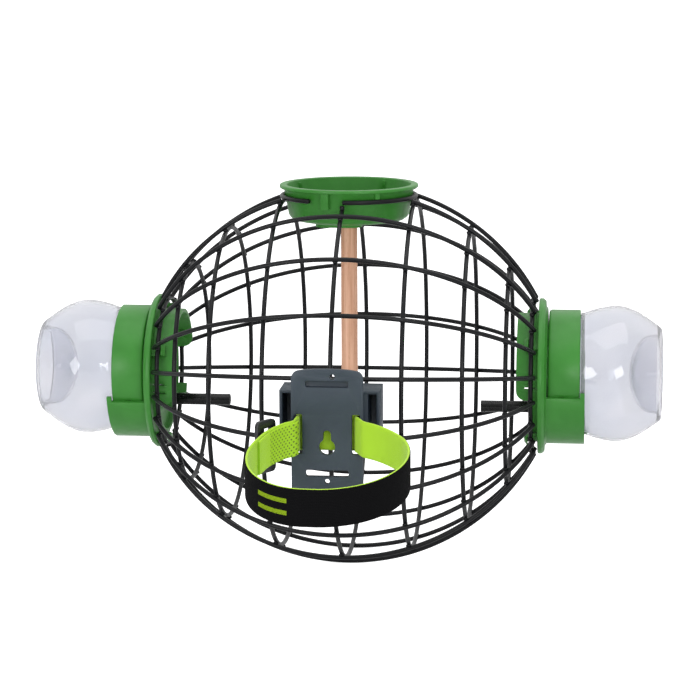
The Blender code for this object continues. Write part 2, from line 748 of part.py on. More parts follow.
slope = (DISH_TOP_R - DISH_FLOOR_R) / (DISH_DEPTH - DISH_RIM_T - DISH_EDGE_R)
support = OPENING_Z + WIRE_R + GAP
for n, degrees in enumerate(DISH_RIBS_DEG):
    rib = box(f"dish_rib_{n}", (DISH_FLOOR_R - 0.5 * MM, -DISH_RIB_W / 2, support), (OPENING_R + 0.8 * MM, DISH_RIB_W / 2, rim - DISH_RIM_T + OVERLAP), dish_axis)
    rib.rotation_euler = (0, 0, math.radians(degrees))
    add(dish, rib)
key = box("dish_key", (DISH_FLOOR_R - 0.5 * MM, -DISH_KEY_W / 2, rim - DISH_RIM_T - DISH_KEY_LEN), (OPENING_R + 0.8 * MM, DISH_KEY_W / 2, rim - DISH_RIM_T + OVERLAP), dish_axis)
key.rotation_euler = (0, 0, math.radians(DISH_KEY_DEG))
add(dish, key)
foot = outline("dish_foot", [rounded(FOOT_LEN, FOOT_W, FOOT_W / 2 - 0.01 * MM, 6, (-FOOT_SHIFT, 0))], floor - FOOT_T, floor + OVERLAP, dish_axis)
add(dish, foot)
cut(dish, cylinder("rod_socket", ROD_R + GAP, (0, 0, floor - FOOT_T - 2 * MM), (0, 0, floor - FOOT_T + ROD_SOCKET), dish_axis, ROD_STEPS))
finish(dish, "green")

rod_top = floor - FOOT_T + ROD_SOCKET - GAP
rod = cylinder("rod", ROD_R, (0, 0, rod_top - ROD_LEN), (0, 0, rod_top), dish_axis, ROD_STEPS)
finish(rod, "wood")

# ---------------------------------------------------------------- holder and its clamp on the cage
holder_axis = empty("holder_axis", (PLATE_SHIFT, 0, 0), cage)
front = -(CAGE_FRONT + HOLDER_DEPTH)
bottom = HOLDER_TOP - HOLDER_H
holder = box("holder", (-HOLDER_W / 2, front, bottom), (HOLDER_W / 2, -CAGE_FRONT, HOLDER_TOP), holder_axis)
neck_half = RAIL_NECK_W / 2 + GAP + 0.1 * MM
rail_half = RAIL_W / 2 + GAP + 0.1 * MM
rib_out = rail_half + HOLDER_RIB_T
for hand in (-1, 1):
    low_x, high_x = sorted((hand * rib_out, hand * (HOLDER_W / 2 - HOLDER_WALL)))
    cut(holder, box(f"pocket_{hand}", (low_x, front - 2 * MM, bottom - 2 * MM), (high_x, -CAGE_FRONT - HOLDER_BACK, HOLDER_TOP - HOLDER_WALL), holder_axis))
cut(
    holder,
    box("channel", (-rail_half, front + HOLDER_LIP_T, bottom - 2 * MM), (rail_half, -CAGE_FRONT - HOLDER_BACK, HOLDER_TOP - HOLDER_WALL), holder_axis),
    box("channel_mouth", (-neck_half, front - 2 * MM, bottom - 2 * MM), (neck_half, front + HOLDER_LIP_T + 1 * MM, HOLDER_TOP - HOLDER_WALL), holder_axis),
)
screw_z = bottom + HOLDER_H / 2
for hand in (-1, 1):
    where = hand * SCREW_SPREAD / 2
    cut(holder, cylinder(f"holder_hole_{hand}", SCREW_R + GAP, (where, -CAGE_FRONT - HOLDER_BACK - 2 * MM, screw_z), (where, -CAGE_FRONT + 2 * MM, screw_z), holder_axis, 12))
finish(holder, "slate")

clamp_far = max(abs(screw_z - CLAMP_H / 2), abs(screw_z + CLAMP_H / 2))
clamp_near = side_radius(0) * math.cos(math.pi / RING_STEPS) - WIRE_R
clamp_front = -(math.sqrt(clamp_near**2 - clamp_far**2) - GAP)
clamp = box("clamp_plate", (-CLAMP_W / 2, clamp_front, screw_z - CLAMP_H / 2), (CLAMP_W / 2, clamp_front + CLAMP_T, screw_z + CLAMP_H / 2), holder_axis)
for hand in (-1, 1):
    where = hand * SCREW_SPREAD / 2
    cut(clamp, cylinder(f"clamp_hole_{hand}", SCREW_R + GAP, (where, clamp_front - 2 * MM, screw_z), (where, clamp_front + CLAMP_T + 2 * MM, screw_z), holder_axis, 12))
finish(clamp, "slate")
for n, hand in enumerate((-1, 1)):
    where = hand * SCREW_SPREAD / 2
    seat = -CAGE_FRONT - HOLDER_BACK
    screw = cylinder(f"clamp_screw_{n + 1}", SCREW_R, (where, seat - 0.8 * MM, screw_z), (where, clamp_front + CLAMP_T + 1.5 * MM, screw_z), holder_axis, 12)
    add(screw, cylinder(f"screw_head_{n}", SCREW_HEAD_R, (where, seat - GAP - SCREW_HEAD_T, screw_z), (where, seat - GAP, screw_z), holder_axis, 16))
    finish(screw, "steel")

# ---------------------------------------------------------------- strap plate
plate_axis = empty("plate_axis", (0, 0, 0))
top, low = PLATE_TOP, PLATE_TOP - PLATE_H
half = PLATE_W / 2
crown_points = [(half * math.cos(math.radians(a)) * 0.72, top - PLATE_CROWN * (1 - math.sin(math.radians(a)))) for a in (30, 60, 90, 120, 150)]
border = (
    arc(PLATE_CORNER_R, 0, 75, 4, (half - PLATE_CORNER_R, top - PLATE_CROWN - PLATE_CORNER_R))
    + crown_points
    + arc(PLATE_CORNER_R, 105, 180, 4, (-half + PLATE_CORNER_R, top - PLATE_CROWN - PLATE_CORNER_R))
    + arc(PLATE_CORNER_R * 0.4, 180, 270, 3, (-half + PLATE_CORNER_R * 0.4, low + PLATE_CORNER_R * 0.4))
    + arc(PLATE_CORNER_R * 0.4, 270, 360, 3, (half - PLATE_CORNER_R * 0.4, low + PLATE_CORNER_R * 0.4))
)
band_top = top - SLOT_BAND_FROM_END
band_low = low + SLOT_BAND_FROM_END + SLOT_BAND_H
slot_h = STRAP_W + 2.6 * MM
neck_half_deg = math.degrees(math.asin(KEY_NECK_R / KEY_HEAD_R))
keyhole = arc(KEY_HEAD_R, 90 + neck_half_deg, 450 - neck_half_deg, 14, (0, KEY_Z)) + arc(KEY_NECK_R, 0, 180, 5, (0, KEY_Z + KEY_NECK_LEN))
holes = [
    rounded(SLOT_BAND_W, SLOT_BAND_H, 1.2 * MM, 2, (0, band_top)),
    rounded(SLOT_BAND_W, SLOT_BAND_H, 1.2 * MM, 2, (0, band_low)),
    arc(PEG_HOLE_R, 0, 330, 11, (3.2 * MM, band_top + SLOT_BAND_H / 2 + PEG_HOLE_R + 0.9 * MM)),
    arc(PEG_HOLE_R, 0, 330, 11, (0, band_low - SLOT_BAND_H / 2 - PEG_HOLE_R - 1.4 * MM)),
    keyhole,
    rounded(STRAP_SLOT_W, slot_h, 1.0 * MM, 2, (-STRAP_SLOT_X, STRAP_SLOT_Z)),
    rounded(STRAP_SLOT_W, slot_h, 1.0 * MM, 2, (STRAP_SLOT_X, STRAP_SLOT_Z)),
]
plate = outline("strap_plate", [border] + holes, 0, PLATE_T, plate_axis)
# The outline's y becomes up, and its thickness runs from the bearing face towards the cage.
place(plate, ((1, 0, 0, 0), (0, 0, 1, 0), (0, 1, 0, 0), (0, 0, 0, 1)))

front_y = STANDOFF + front
rail_top = HOLDER_TOP - HOLDER_WALL - GLOBE_DROP - GAP
rail_low = rail_top - RAIL_H
lip_back = front_y + HOLDER_LIP_T + GAP
neck = box("rail_neck", (-RAIL_NECK_W / 2, PLATE_T - OVERLAP, rail_low), (RAIL_NECK_W / 2, lip_back + 1.0 * MM, rail_top))
flange = box("rail_flange", (-RAIL_W / 2, lip_back, rail_low), (RAIL_W / 2, lip_back + RAIL_T, rail_top))
tunnel = box("strap_tunnel", (-RAIL_W, PLATE_T - 2 * OVERLAP, STRAP_SLOT_Z - slot_h / 2), (RAIL_W, PLATE_T + STRAP_TUNNEL, STRAP_SLOT_Z + slot_h / 2))
add(neck, flange)
cut(neck, tunnel)
add(plate, neck)
# A shallow floor closes the upper slot from behind, so only the lower one goes through.
band_floor = box(
    "band_floor",
    (-SLOT_BAND_W / 2 - 2.0 * MM, PLATE_T - OVERLAP, band_top - SLOT_BAND_H / 2 - 2.0 * MM),
    (SLOT_BAND_W / 2 + 2.0 * MM, PLATE_T + 1.2 * MM, band_top + SLOT_BAND_H / 2 + 0.7 * MM),
)
add(plate, band_floor)
finish(plate, "slate")

# ---------------------------------------------------------------- strap, hook patch and buckle
# The loop leaves the plate through its side slots and closes in front of it.
run = PLATE_T + STRAP_RUN_BACK
inner_w = STRAP_SLOT_X


def mean_line():
    """Closed centre line of the strap seen from above."""
    points = []
    count = LOOP_STEPS
    centre_y = -LOOP_DEPTH / 2
    open_deg = 27.0
    for k in range(count + 1):
        a = math.radians(90 - open_deg - (360 - 2 * open_deg) * k / count)
        x = ((LOOP_W - STRAP_T) / 2 - (LOOP_NARROW if math.cos(a) < 0 else 0)) * math.cos(a)
        y = centre_y + (LOOP_DEPTH - STRAP_T) / 2 * math.sin(a)
        x += LOOP_SHIFT * min(1.0, -y / 30e-3)
        points.append((x, y))
    right, left = points[0], points[-1]
    lead_in = [(-inner_w, PLATE_T * 0.5), (-inner_w + 1.6 * MM, run + STRAP_T / 2), (inner_w - 1.6 * MM, run + STRAP_T / 2), (inner_w, PLATE_T * 0.5)]
    return points + [(left[0] * 0.5 - inner_w * 0.5, left[1] * 0.45)] + lead_in + [(right[0] * 0.5 + inner_w * 0.5, right[1] * 0.45)]


def strap_drop(x, y):
    """How far the strap hangs below its slots at this place of the loop."""
    return max(0.0, -y) * (LOOP_DROOP + LOOP_LEAN * max(0.0, -x) / (LOOP_W / 2))


def offset_loop(points, distance):
    """Each point moved square to the loop, outwards for a positive distance."""
    moved = []
    for k, (x, y) in enumerate(points):
        (x0, y0), (x1, y1) = points[k - 1], points[(k + 1) % len(points)]
        length = math.hypot(x1 - x0, y1 - y0)
        moved.append((x - (y1 - y0) / length * distance, y + (x1 - x0) / length * distance))
    return moved


centre_line = mean_line()
strap = outline("strap", [offset_loop(centre_line, STRAP_T / 2), offset_loop(centre_line, -STRAP_T / 2)], STRAP_SLOT_Z - STRAP_W / 2, STRAP_SLOT_Z + STRAP_W / 2)
for vertex in strap.data.vertices:
    vertex.co.z -= strap_drop(vertex.co.x, vertex.co.y)
finish(strap, "strap")


def buckle_frame():
    """Place, run direction and outward direction of the strap at the buckle."""
    x, y = centre_line[BUCKLE_STEP]
    (x0, y0), (x1, y1) = centre_line[BUCKLE_STEP - 1], centre_line[BUCKLE_STEP + 1]
    along = Vector((x1 - x0, y1 - y0, 0)).normalized()
    outwards = Vector((-along.y, along.x, 0))
    if outwards.dot(Vector((x, y + LOOP_DEPTH / 2, 0))) < 0:
        outwards = -outwards
    return Vector((x, y, STRAP_SLOT_Z - strap_drop(x, y))), along, outwards


where, along, outwards = buckle_frame()
buckle = outline(
    "strap_buckle",
    [rounded(BUCKLE_W, BUCKLE_H, 3.0 * MM, 3), rounded(BUCKLE_W - 2 * BUCKLE_BAR, BUCKLE_H - 2 * BUCKLE_BAR, 1.2 * MM, 2)],
    STRAP_T / 2 + 1.2 * MM,
    STRAP_T / 2 + 1.2 * MM + BUCKLE_T,
)
place(
    buckle,
    Matrix.Translation(where)
    @ Matrix(((along.x, 0, outwards.x), (along.y, 0, outwards.y), (0, 1, 0))).to_4x4(),
)
finish(buckle, "buckle")
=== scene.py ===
"""Looks of the caged bird feeder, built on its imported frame.

Lengths are in metres in the frame's own axes: X along the ports, Z up, and the tree behind the cage's front at -Y.
"""

import math

import bmesh
import bpy
import numpy as np
from mathutils import Matrix, Vector


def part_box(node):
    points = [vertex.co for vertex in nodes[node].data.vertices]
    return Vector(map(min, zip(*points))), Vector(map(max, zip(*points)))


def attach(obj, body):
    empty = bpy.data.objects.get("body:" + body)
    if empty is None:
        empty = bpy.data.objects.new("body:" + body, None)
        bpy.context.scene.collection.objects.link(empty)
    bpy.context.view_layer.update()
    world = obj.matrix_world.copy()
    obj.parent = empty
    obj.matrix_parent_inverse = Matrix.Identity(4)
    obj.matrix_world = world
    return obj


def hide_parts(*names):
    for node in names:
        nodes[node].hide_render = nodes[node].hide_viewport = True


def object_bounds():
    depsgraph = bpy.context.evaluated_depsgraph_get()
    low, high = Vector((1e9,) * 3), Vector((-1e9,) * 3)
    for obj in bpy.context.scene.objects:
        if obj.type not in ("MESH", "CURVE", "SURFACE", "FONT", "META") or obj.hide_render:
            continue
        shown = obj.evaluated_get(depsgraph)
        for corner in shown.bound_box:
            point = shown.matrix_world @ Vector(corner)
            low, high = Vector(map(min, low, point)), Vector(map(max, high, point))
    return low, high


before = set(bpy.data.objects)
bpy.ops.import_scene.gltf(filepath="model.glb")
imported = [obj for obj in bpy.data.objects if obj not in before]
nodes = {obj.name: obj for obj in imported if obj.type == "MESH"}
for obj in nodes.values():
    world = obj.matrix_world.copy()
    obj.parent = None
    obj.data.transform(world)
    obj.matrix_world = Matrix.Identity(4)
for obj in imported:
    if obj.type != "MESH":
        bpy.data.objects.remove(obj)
cad_box = [list(v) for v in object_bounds()]

MM = 0.001
TAU = 2 * math.pi
GLOBE = np.array((-3.0, 166.0, -9.3)) * MM  # middle of the cage
WIRE_R = 1.5 * MM
LAYER = 3.3 * MM  # meridian wires lie this much outside the ring wires
ARC_R = 137.1 * MM
ARC_DROP = 15.0 * MM
RING_X = (43.5 * MM, 80.0 * MM, 106.0 * MM)
END_RING_X = 121.5 * MM
OPENING_R = 44.0 * MM
FLANGE_X = 125.7 * MM
SEAT_RISE = 2.3 * MM
PORT_TURN = {"left": 18.5, "right": 8.5}
PERCH_DROP = 22.0 * MM
PERCH_REACH = {"left": 44.0 * MM, "right": 38.3 * MM}


# ---------------------------------------------------------------- surfaces
def mesh_object(name, points, faces, uv=None, smooth_angle=None):
    """Puts whole arrays of points, faces and face-corner UVs into a mesh object at the origin."""
    mesh = bpy.data.meshes.new(name)
    mesh.from_pydata(points.tolist(), [], faces.tolist())
    if uv is not None:
        layer = mesh.uv_layers.new(name="run")
        layer.data.foreach_set("uv", uv.astype(np.float32).ravel())
    mesh.shade_smooth()
    if smooth_angle:
        mesh.set_sharp_from_angle(angle=math.radians(smooth_angle))
    made = bpy.data.objects.new(name, mesh)
    bpy.context.scene.collection.objects.link(made)
    return made


def grid_faces(rows, columns, close_rows=False, close_columns=False):
    """Quads of a grid of points counted row by row, and the (row, column) of each quad's four corners."""
    i, j = np.meshgrid(
        np.arange(rows if close_rows else rows - 1), np.arange(columns if close_columns else columns - 1),
        indexing="ij"
    )
    i, j = i.ravel(), j.ravel()
    corners = np.stack((np.stack((i, i + 1, i + 1, i), 1), np.stack((j, j, j + 1, j + 1), 1)), 2)
    return (corners[..., 0] % rows) * columns + corners[..., 1] % columns, corners


def closed_up(made, smooth_angle=None):
    """Merges the seams and poles of a surface and turns its faces outward."""
    work = bmesh.new()
    work.from_mesh(made.data)
    bmesh.ops.remove_doubles(work, verts=work.verts, dist=2e-6)
    bmesh.ops.dissolve_degenerate(work, edges=work.edges, dist=1e-7)
    bmesh.ops.recalc_face_normals(work, faces=work.faces)
    work.to_mesh(made.data)
    work.free()
    made.data.shade_smooth()
    if smooth_angle:
        made.data.set_sharp_from_angle(angle=math.radians(smooth_angle))
    return made


def rounded_profile(points, radii, steps=5):
    """Each corner of a profile is swapped for points on the quadratic curve that starts and ends one radius
    away from the corner.
    """
    points = np.asarray(points, float)
    out = []
    last = len(points) - 1
    for k, (corner, radius) in enumerate(zip(points, radii)):
        if radius <= 0 or k in (0, last):
            out.append(corner[None])
            continue
        before, after = points[k - 1] - corner, points[k + 1] - corner
        a = corner + before / np.linalg.norm(before) * min(radius, np.linalg.norm(before) * 0.49)
        b = corner + after / np.linalg.norm(after) * min(radius, np.linalg.norm(after) * 0.49)
        t = np.linspace(0, 1, steps)[:, None]
        out.append((1 - t) ** 2 * a + 2 * t * (1 - t) * corner + t**2 * b)
    return np.concatenate(out)


def smooth_profile(points, per_span=5):
    """A Catmull-Rom curve through the points: each span is a cubic whose end slopes are half the step between
    its neighbours.
    """
    p = np.asarray(points, float)
    q = np.concatenate((2 * p[:1] - p[1:2], p, 2 * p[-1:] - p[-2:-1]))
    t = np.linspace(0, 1, per_span, endpoint=False)[None, :, None]
    a, b, c, d = (q[k : len(q) - 3 + k][:, None] for k in range(4))
    span = 0.5 * (2 * b + (c - a) * t + (2 * a - 5 * b + 4 * c - d) * t**2 + (3 * b - a - 3 * c + d) * t**3)
    return np.concatenate((span.reshape(-1, p.shape[1]), p[-1:]))


def lathe(name, profile, matrix, steps=96, smooth_angle=50):
    """A profile of (radius, height) pairs carried round local Z: a point is (r cos a, r sin a, z). U runs
    round, V along the profile's length.
    """
    profile = np.asarray(profile, float)
    a = np.arange(steps) / steps * TAU
    points = np.stack(
        (
            np.outer(np.cos(a), profile[:, 0]), np.outer(np.sin(a), profile[:, 0]),
            np.tile(profile[:, 1], (steps, 1))
        ), 2
    ).reshape(-1, 3)
    m = np.array(matrix)
    points = points @ m[:3, :3].T + m[:3, 3]
    faces, corners = grid_faces(steps, len(profile), close_rows=True)
    run = np.concatenate(([0], np.cumsum(np.linalg.norm(np.diff(profile, axis=0), axis=1))))
    uv = np.stack((corners[..., 0] / steps, run[corners[..., 1]]), 2)
    return closed_up(mesh_object(name, points, faces, uv), smooth_angle)


def wire(name, path, plane_normal, closed=False, sides=12, radius=WIRE_R):
    """A round wire along a flat path: at each point a circle spanned by the plane's normal and the in-plane side direction.
    Open ends turn in over the last few tenths of a millimetre, as a cropped and coated wire does."""
    path = np.asarray(path, float)
    normal = np.asarray(plane_normal, float)
    if closed:
        tangent = np.roll(path, -1, 0) - np.roll(path, 1, 0)
        radii = np.full(len(path), radius)
    else:
        tangent = np.gradient(path, axis=0)
        tangent /= np.linalg.norm(tangent, axis=1)[:, None]
        cap = np.array((0.0, 0.06, 0.25, 0.5)) * radius
        size = np.array((0.0, 0.62, 0.9, 1.0)) * radius
        start = path[0] + tangent[0] * cap[:, None]
        end = path[-1] - tangent[-1] * cap[::-1, None]
        path = np.concatenate((start, path[1:-1], end))
        tangent = np.concatenate((np.tile(tangent[0], (4, 1)), tangent[1:-1], np.tile(tangent[-1], (4, 1))))
        radii = np.concatenate((size, np.full(len(path) - 8, radius), size[::-1]))
    tangent /= np.linalg.norm(tangent, axis=1)[:, None]
    side = np.cross(tangent, normal)
    a = np.arange(sides) / sides * TAU
    ring = np.cos(a)[None, :, None] * side[:, None] + np.sin(a)[None, :, None] * normal
    points = (path[:, None] + radii[:, None, None] * ring).reshape(-1, 3)
    faces, corners = grid_faces(len(path), sides, close_rows=closed, close_columns=True)
    run = np.concatenate(([0], np.cumsum(np.linalg.norm(np.diff(path, axis=0), axis=1)), [0]))
    run[-1] = run[-2] + (np.linalg.norm(path[0] - path[-1]) if closed else 0)
    uv = np.stack((run[corners[..., 0]], corners[..., 1] / sides), 2)
    return closed_up(mesh_object(name, points, faces, uv))


def side_radius(x, layer=0.0):
    return np.sqrt((ARC_R + layer) ** 2 - x * x) - ARC_DROP


def around(x, radius, angle):
    """Points of a circle about the port axis: angle from the top, towards -Y."""
    x, radius, angle = np.broadcast_arrays(np.asarray(x, float), radius, angle)
    return np.stack((x, -radius * np.sin(angle), radius * np.cos(angle)), -1) + GLOBE


def merged_copy(name, node, bevel=0.0, flat=1.0, sharp=32):
    """A node's own shape with its triangles joined, flat areas made one face each, and its hard edges eased by
    a narrow bevel.
    """
    made = bpy.data.objects.new(name, nodes[node].data.copy())
    bpy.context.scene.collection.objects.link(made)
    made.data.materials.clear()
    work = bmesh.new()
    work.from_mesh(made.data)
    bmesh.ops.remove_doubles(work, verts=work.verts, dist=2e-6)
    bmesh.ops.dissolve_limit(work, angle_limit=math.radians(flat), verts=work.verts, edges=work.edges)
    for layer in list(work.loops.layers.uv):
        work.loops.layers.uv.remove(layer)
    work.to_mesh(made.data)
    work.free()
    if bevel:
        ease = made.modifiers.new("ease", "BEVEL")
        ease.width = bevel
        ease.segments = 2
        ease.limit_method = "ANGLE"
        ease.angle_limit = math.radians(sharp)
        ease.use_clamp_overlap = True
        ease.miter_outer = "MITER_ARC"
        bpy.context.view_layer.update()
        done = bpy.data.meshes.new_from_object(made.evaluated_get(bpy.context.evaluated_depsgraph_get()))
        made.modifiers.clear()
        made.data = done
    made.data.shade_smooth()
    made.data.set_sharp_from_angle(angle=math.radians(38))
    return made


# ---------------------------------------------------------------- finishes
def linear(r, g, b):
    """An sRGB colour of 0 to 255 as linear values."""
    c = np.array((r, g, b)) / 255
    return (*np.where(c <= 0.04045, c / 12.92, ((c + 0.055) / 1.055) ** 2.4).tolist(), 1.0)


def new_group(name, inputs, outputs):
    """A shader node group with named sockets: (name, kind, default) for inputs and (name, kind) for outputs."""
    group = bpy.data.node_groups.new(name, "ShaderNodeTree")
    for label, kind, *default in inputs:
        socket = group.interface.new_socket(label, in_out="INPUT", socket_type="NodeSocket" + kind)
        if default:
            socket.default_value = default[0]
    for label, kind in outputs:
        group.interface.new_socket(label, in_out="OUTPUT", socket_type="NodeSocket" + kind)
    return group, group.nodes.new("NodeGroupInput"), group.nodes.new("NodeGroupOutput")


def node(tree, kind, links=None, **values):
    """A node with its settings and input values; links maps an input to a socket."""
    made = tree.nodes.new("ShaderNode" + kind)
    for key, value in values.items():
        setattr(made, key, value)
    for key, value in (links or {}).items():
        if isinstance(value, bpy.types.NodeSocket):
            tree.links.new(value, made.inputs[key])
        else:
            made.inputs[key].default_value = value
    return made


def math_node(tree, operation, a, b=None, clamp=False):
    return node(
        tree, "Math", {0: a, **({1: b} if b is not None else {})}, operation=operation, use_clamp=clamp
    ).outputs[0]


def mix_colour(tree, factor, a, b, blend="MIX"):
    made = tree.nodes.new("ShaderNodeMix")
    made.data_type = "RGBA"
    made.blend_type = blend
    for key, value in ((0, factor), (6, a), (7, b)):
        if isinstance(value, bpy.types.NodeSocket):
            tree.links.new(value, made.inputs[key])
        else:
            made.inputs[key].default_value = value
    return made.outputs[2]


def ramp(tree, value, low, high):
    """0 below low, 1 above high, smooth between."""
    return node(tree, "MapRange", {0: value, 1: low, 2: high}, interpolation_type="SMOOTHSTEP").outputs[0]


def build_moulded():
    """Moulded plastic or powder coat: broad mottling shifts the colour a little, a middle noise varies the
    gloss, and a fine noise is the skin's height.
    """
    g, i, o = new_group(
        "moulded skin",
        [
            ("Place", "Vector"), ("Colour", "Color"), ("Deep Colour", "Color"), ("Grain Size", "Float", 900.0),
            ("Gloss Low", "Float", 0.3), ("Gloss High", "Float", 0.45)
        ],
        [("Colour", "Color"), ("Roughness", "Float"), ("Height", "Float")],
    )
    broad = node(g, "TexNoise", {"Vector": i.outputs[0], "Scale": 34.0, "Detail": 3.0, "Roughness": 0.6})
    middle = node(g, "TexNoise", {"Vector": i.outputs[0], "Scale": 190.0, "Detail": 4.0, "Roughness": 0.65})
    fine = node(g, "TexNoise", {"Vector": i.outputs[0], "Scale": i.outputs[3], "Detail": 2.0, "Roughness": 0.5})
    mask = ramp(g, broad.outputs[0], 0.35, 0.7)
    g.links.new(mix_colour(g, mask, i.outputs[1], i.outputs[2]), o.inputs[0])
    g.links.new(
        node(
            g, "MapRange", {0: middle.outputs[0], 1: 0.3, 2: 0.7, 3: i.outputs[4], 4: i.outputs[5]}
        ).outputs[0],
        o.inputs[1]
    )
    g.links.new(math_node(g, "MULTIPLY_ADD", middle.outputs[0], 0.35, False), o.inputs[2])
    add = o.inputs[2].links[0].from_node
    g.links.new(fine.outputs[0], add.inputs[2])
    return g


def build_scuffs():
    """Thin hairline scuffs and settled dust: the first is a stretched noise cut to its crests, the second a
    soft noise that is stronger on faces turned up.
    """
    g, i, o = new_group(
        "scuffs and dust", [("Place", "Vector"), ("Amount", "Float", 0.3)],
        [("Scuff", "Float"), ("Dust", "Float")]
    )
    stretched = node(
        g, "Mapping", {"Vector": i.outputs[0], "Rotation": (0.4, 0.9, 0.3), "Scale": (90.0, 90.0, 1500.0)}
    )
    lines = node(g, "TexNoise", {"Vector": stretched.outputs[0], "Scale": 1.0, "Detail": 2.0})
    g.links.new(math_node(g, "MULTIPLY", ramp(g, lines.outputs[0], 0.66, 0.74), i.outputs[1]), o.inputs[0])
    up = node(g, "SeparateXYZ", {0: node(g, "NewGeometry").outputs["Normal"]})
    soft = node(g, "TexNoise", {"Vector": i.outputs[0], "Scale": 70.0, "Detail": 5.0, "Roughness": 0.7})
    g.links.new(
        math_node(
            g, "MULTIPLY",
            math_node(g, "MULTIPLY", ramp(g, up.outputs[2], 0.2, 1.0), ramp(g, soft.outputs[0], 0.42, 0.75)),
            i.outputs[1]
        ),
        o.inputs[1]
    )
    return g


def build_weave():
    """Woven webbing on UVs in metres: warp cords are rounded ridges side by side across the width, and the
    weft dips them in turn, neighbours half a step apart.
    """
    g, i, o = new_group(
        "webbing weave",
        [("Run", "Vector"), ("Cord Pitch", "Float", 0.0009), ("Pick Pitch", "Float", 0.0011)],
        [("Height", "Float"), ("Shade", "Float"), ("Fuzz", "Float")],
    )
    xy = node(g, "SeparateXYZ", {0: i.outputs[0]})
    across = math_node(g, "DIVIDE", xy.outputs[1], i.outputs[1])
    along = math_node(g, "DIVIDE", xy.outputs[0], i.outputs[2])
    cord = math_node(g, "ABSOLUTE", math_node(g, "SINE", math_node(g, "MULTIPLY", across, math.pi)))
    step = math_node(g, "MULTIPLY", math_node(g, "FLOOR", across), 0.5)
    pick = math_node(
        g, "ABSOLUTE", math_node(g, "SINE", math_node(g, "MULTIPLY", math_node(g, "ADD", along, step), math.pi))
    )
    height = math_node(g, "MULTIPLY", math_node(g, "POWER", cord, 0.6), math_node(g, "POWER", pick, 0.5))
    noise = node(g, "TexNoise", {"Vector": i.outputs[0], "Scale": 2600.0, "Detail": 3.0, "Roughness": 0.7})
    g.links.new(height, o.inputs[0])
    # Shade is painted shade: low in the gaps between cords, high on their tops.
    g.links.new(ramp(g, height, 0.15, 0.8), o.inputs[1])
    g.links.new(noise.outputs[0], o.inputs[2])
    return g


def build_wood():
    """Turned beech along Z: long noise for the grain, short dark flecks, and a few small round knots ringed by
    darker wood.
    """
    g, i, o = new_group(
        "beech grain", [("Place", "Vector")], [("Colour", "Color"), ("Roughness", "Float"), ("Height", "Float")]
    )
    long = node(g, "Mapping", {"Vector": i.outputs[0], "Scale": (420.0, 420.0, 14.0)})
    grain = node(
        g, "TexNoise",
        {"Vector": long.outputs[0], "Scale": 1.0, "Detail": 5.0, "Roughness": 0.62, "Distortion": 0.5}
    )
    fleck_map = node(g, "Mapping", {"Vector": i.outputs[0], "Scale": (2100.0, 2100.0, 330.0)})
    fleck = node(g, "TexNoise", {"Vector": fleck_map.outputs[0], "Scale": 1.0, "Detail": 2.0})
    wide = node(g, "TexNoise", {"Vector": i.outputs[0], "Scale": 30.0, "Detail": 3.0})
    knots_map = node(
        g, "Mapping", {"Vector": i.outputs[0], "Location": (0.2, 0.4, 0.7), "Scale": (60.0, 60.0, 26.0)}
    )
    knots = node(g, "TexVoronoi", {"Vector": knots_map.outputs[0], "Scale": 1.0, "Randomness": 1.0})
    base = mix_colour(g, ramp(g, grain.outputs[0], 0.3, 0.72), linear(229, 184, 155), linear(196, 142, 112))
    base = mix_colour(
        g, math_node(g, "MULTIPLY", ramp(g, wide.outputs[0], 0.4, 0.8), 0.55), base, linear(214, 158, 128)
    )
    base = mix_colour(
        g, math_node(g, "MULTIPLY", ramp(g, fleck.outputs[0], 0.6, 0.72), 0.35), base, linear(168, 112, 84)
    )
    knot = math_node(g, "SUBTRACT", 1.0, ramp(g, knots.outputs[0], 0.03, 0.13))
    base = mix_colour(g, math_node(g, "MULTIPLY", knot, 0.75), base, linear(112, 70, 50))
    g.links.new(base, o.inputs[0])
    g.links.new(
        node(g, "MapRange", {0: grain.outputs[0], 1: 0.3, 2: 0.7, 3: 0.52, 4: 0.68}).outputs[0], o.inputs[1]
    )
    g.links.new(
        math_node(
            g, "SUBTRACT",
            math_node(g, "SUBTRACT", grain.outputs[0], math_node(g, "MULTIPLY", fleck.outputs[0], 0.4)), knot
        ),
        o.inputs[2]
    )
    return g


MOULDED, SCUFFS, WEAVE, WOOD = build_moulded(), build_scuffs(), build_weave(), build_wood()


def start_material(name, **values):
    """A material with its shader's constant values set on the shader itself."""
    made = bpy.data.materials.new(name)
    made.use_nodes = True
    tree = made.node_tree
    shader = tree.nodes["Principled BSDF"]
    for key, value in values.items():
        shader.inputs[key.replace("_", " ")].default_value = value
    return made, tree, shader


def use_group(tree, group, **values):
    made = tree.nodes.new("ShaderNodeGroup")
    made.node_tree = group
    for key, value in values.items():
        socket = made.inputs[key.replace("_", " ")]
        if isinstance(value, bpy.types.NodeSocket):
            tree.links.new(value, socket)
        else:
            socket.default_value = value
    return made


def bump(tree, shader, height, strength, distance):
    made = node(tree, "Bump", {"Strength": strength, "Distance": distance, "Height": height})
    tree.links.new(made.outputs[0], shader.inputs["Normal"])


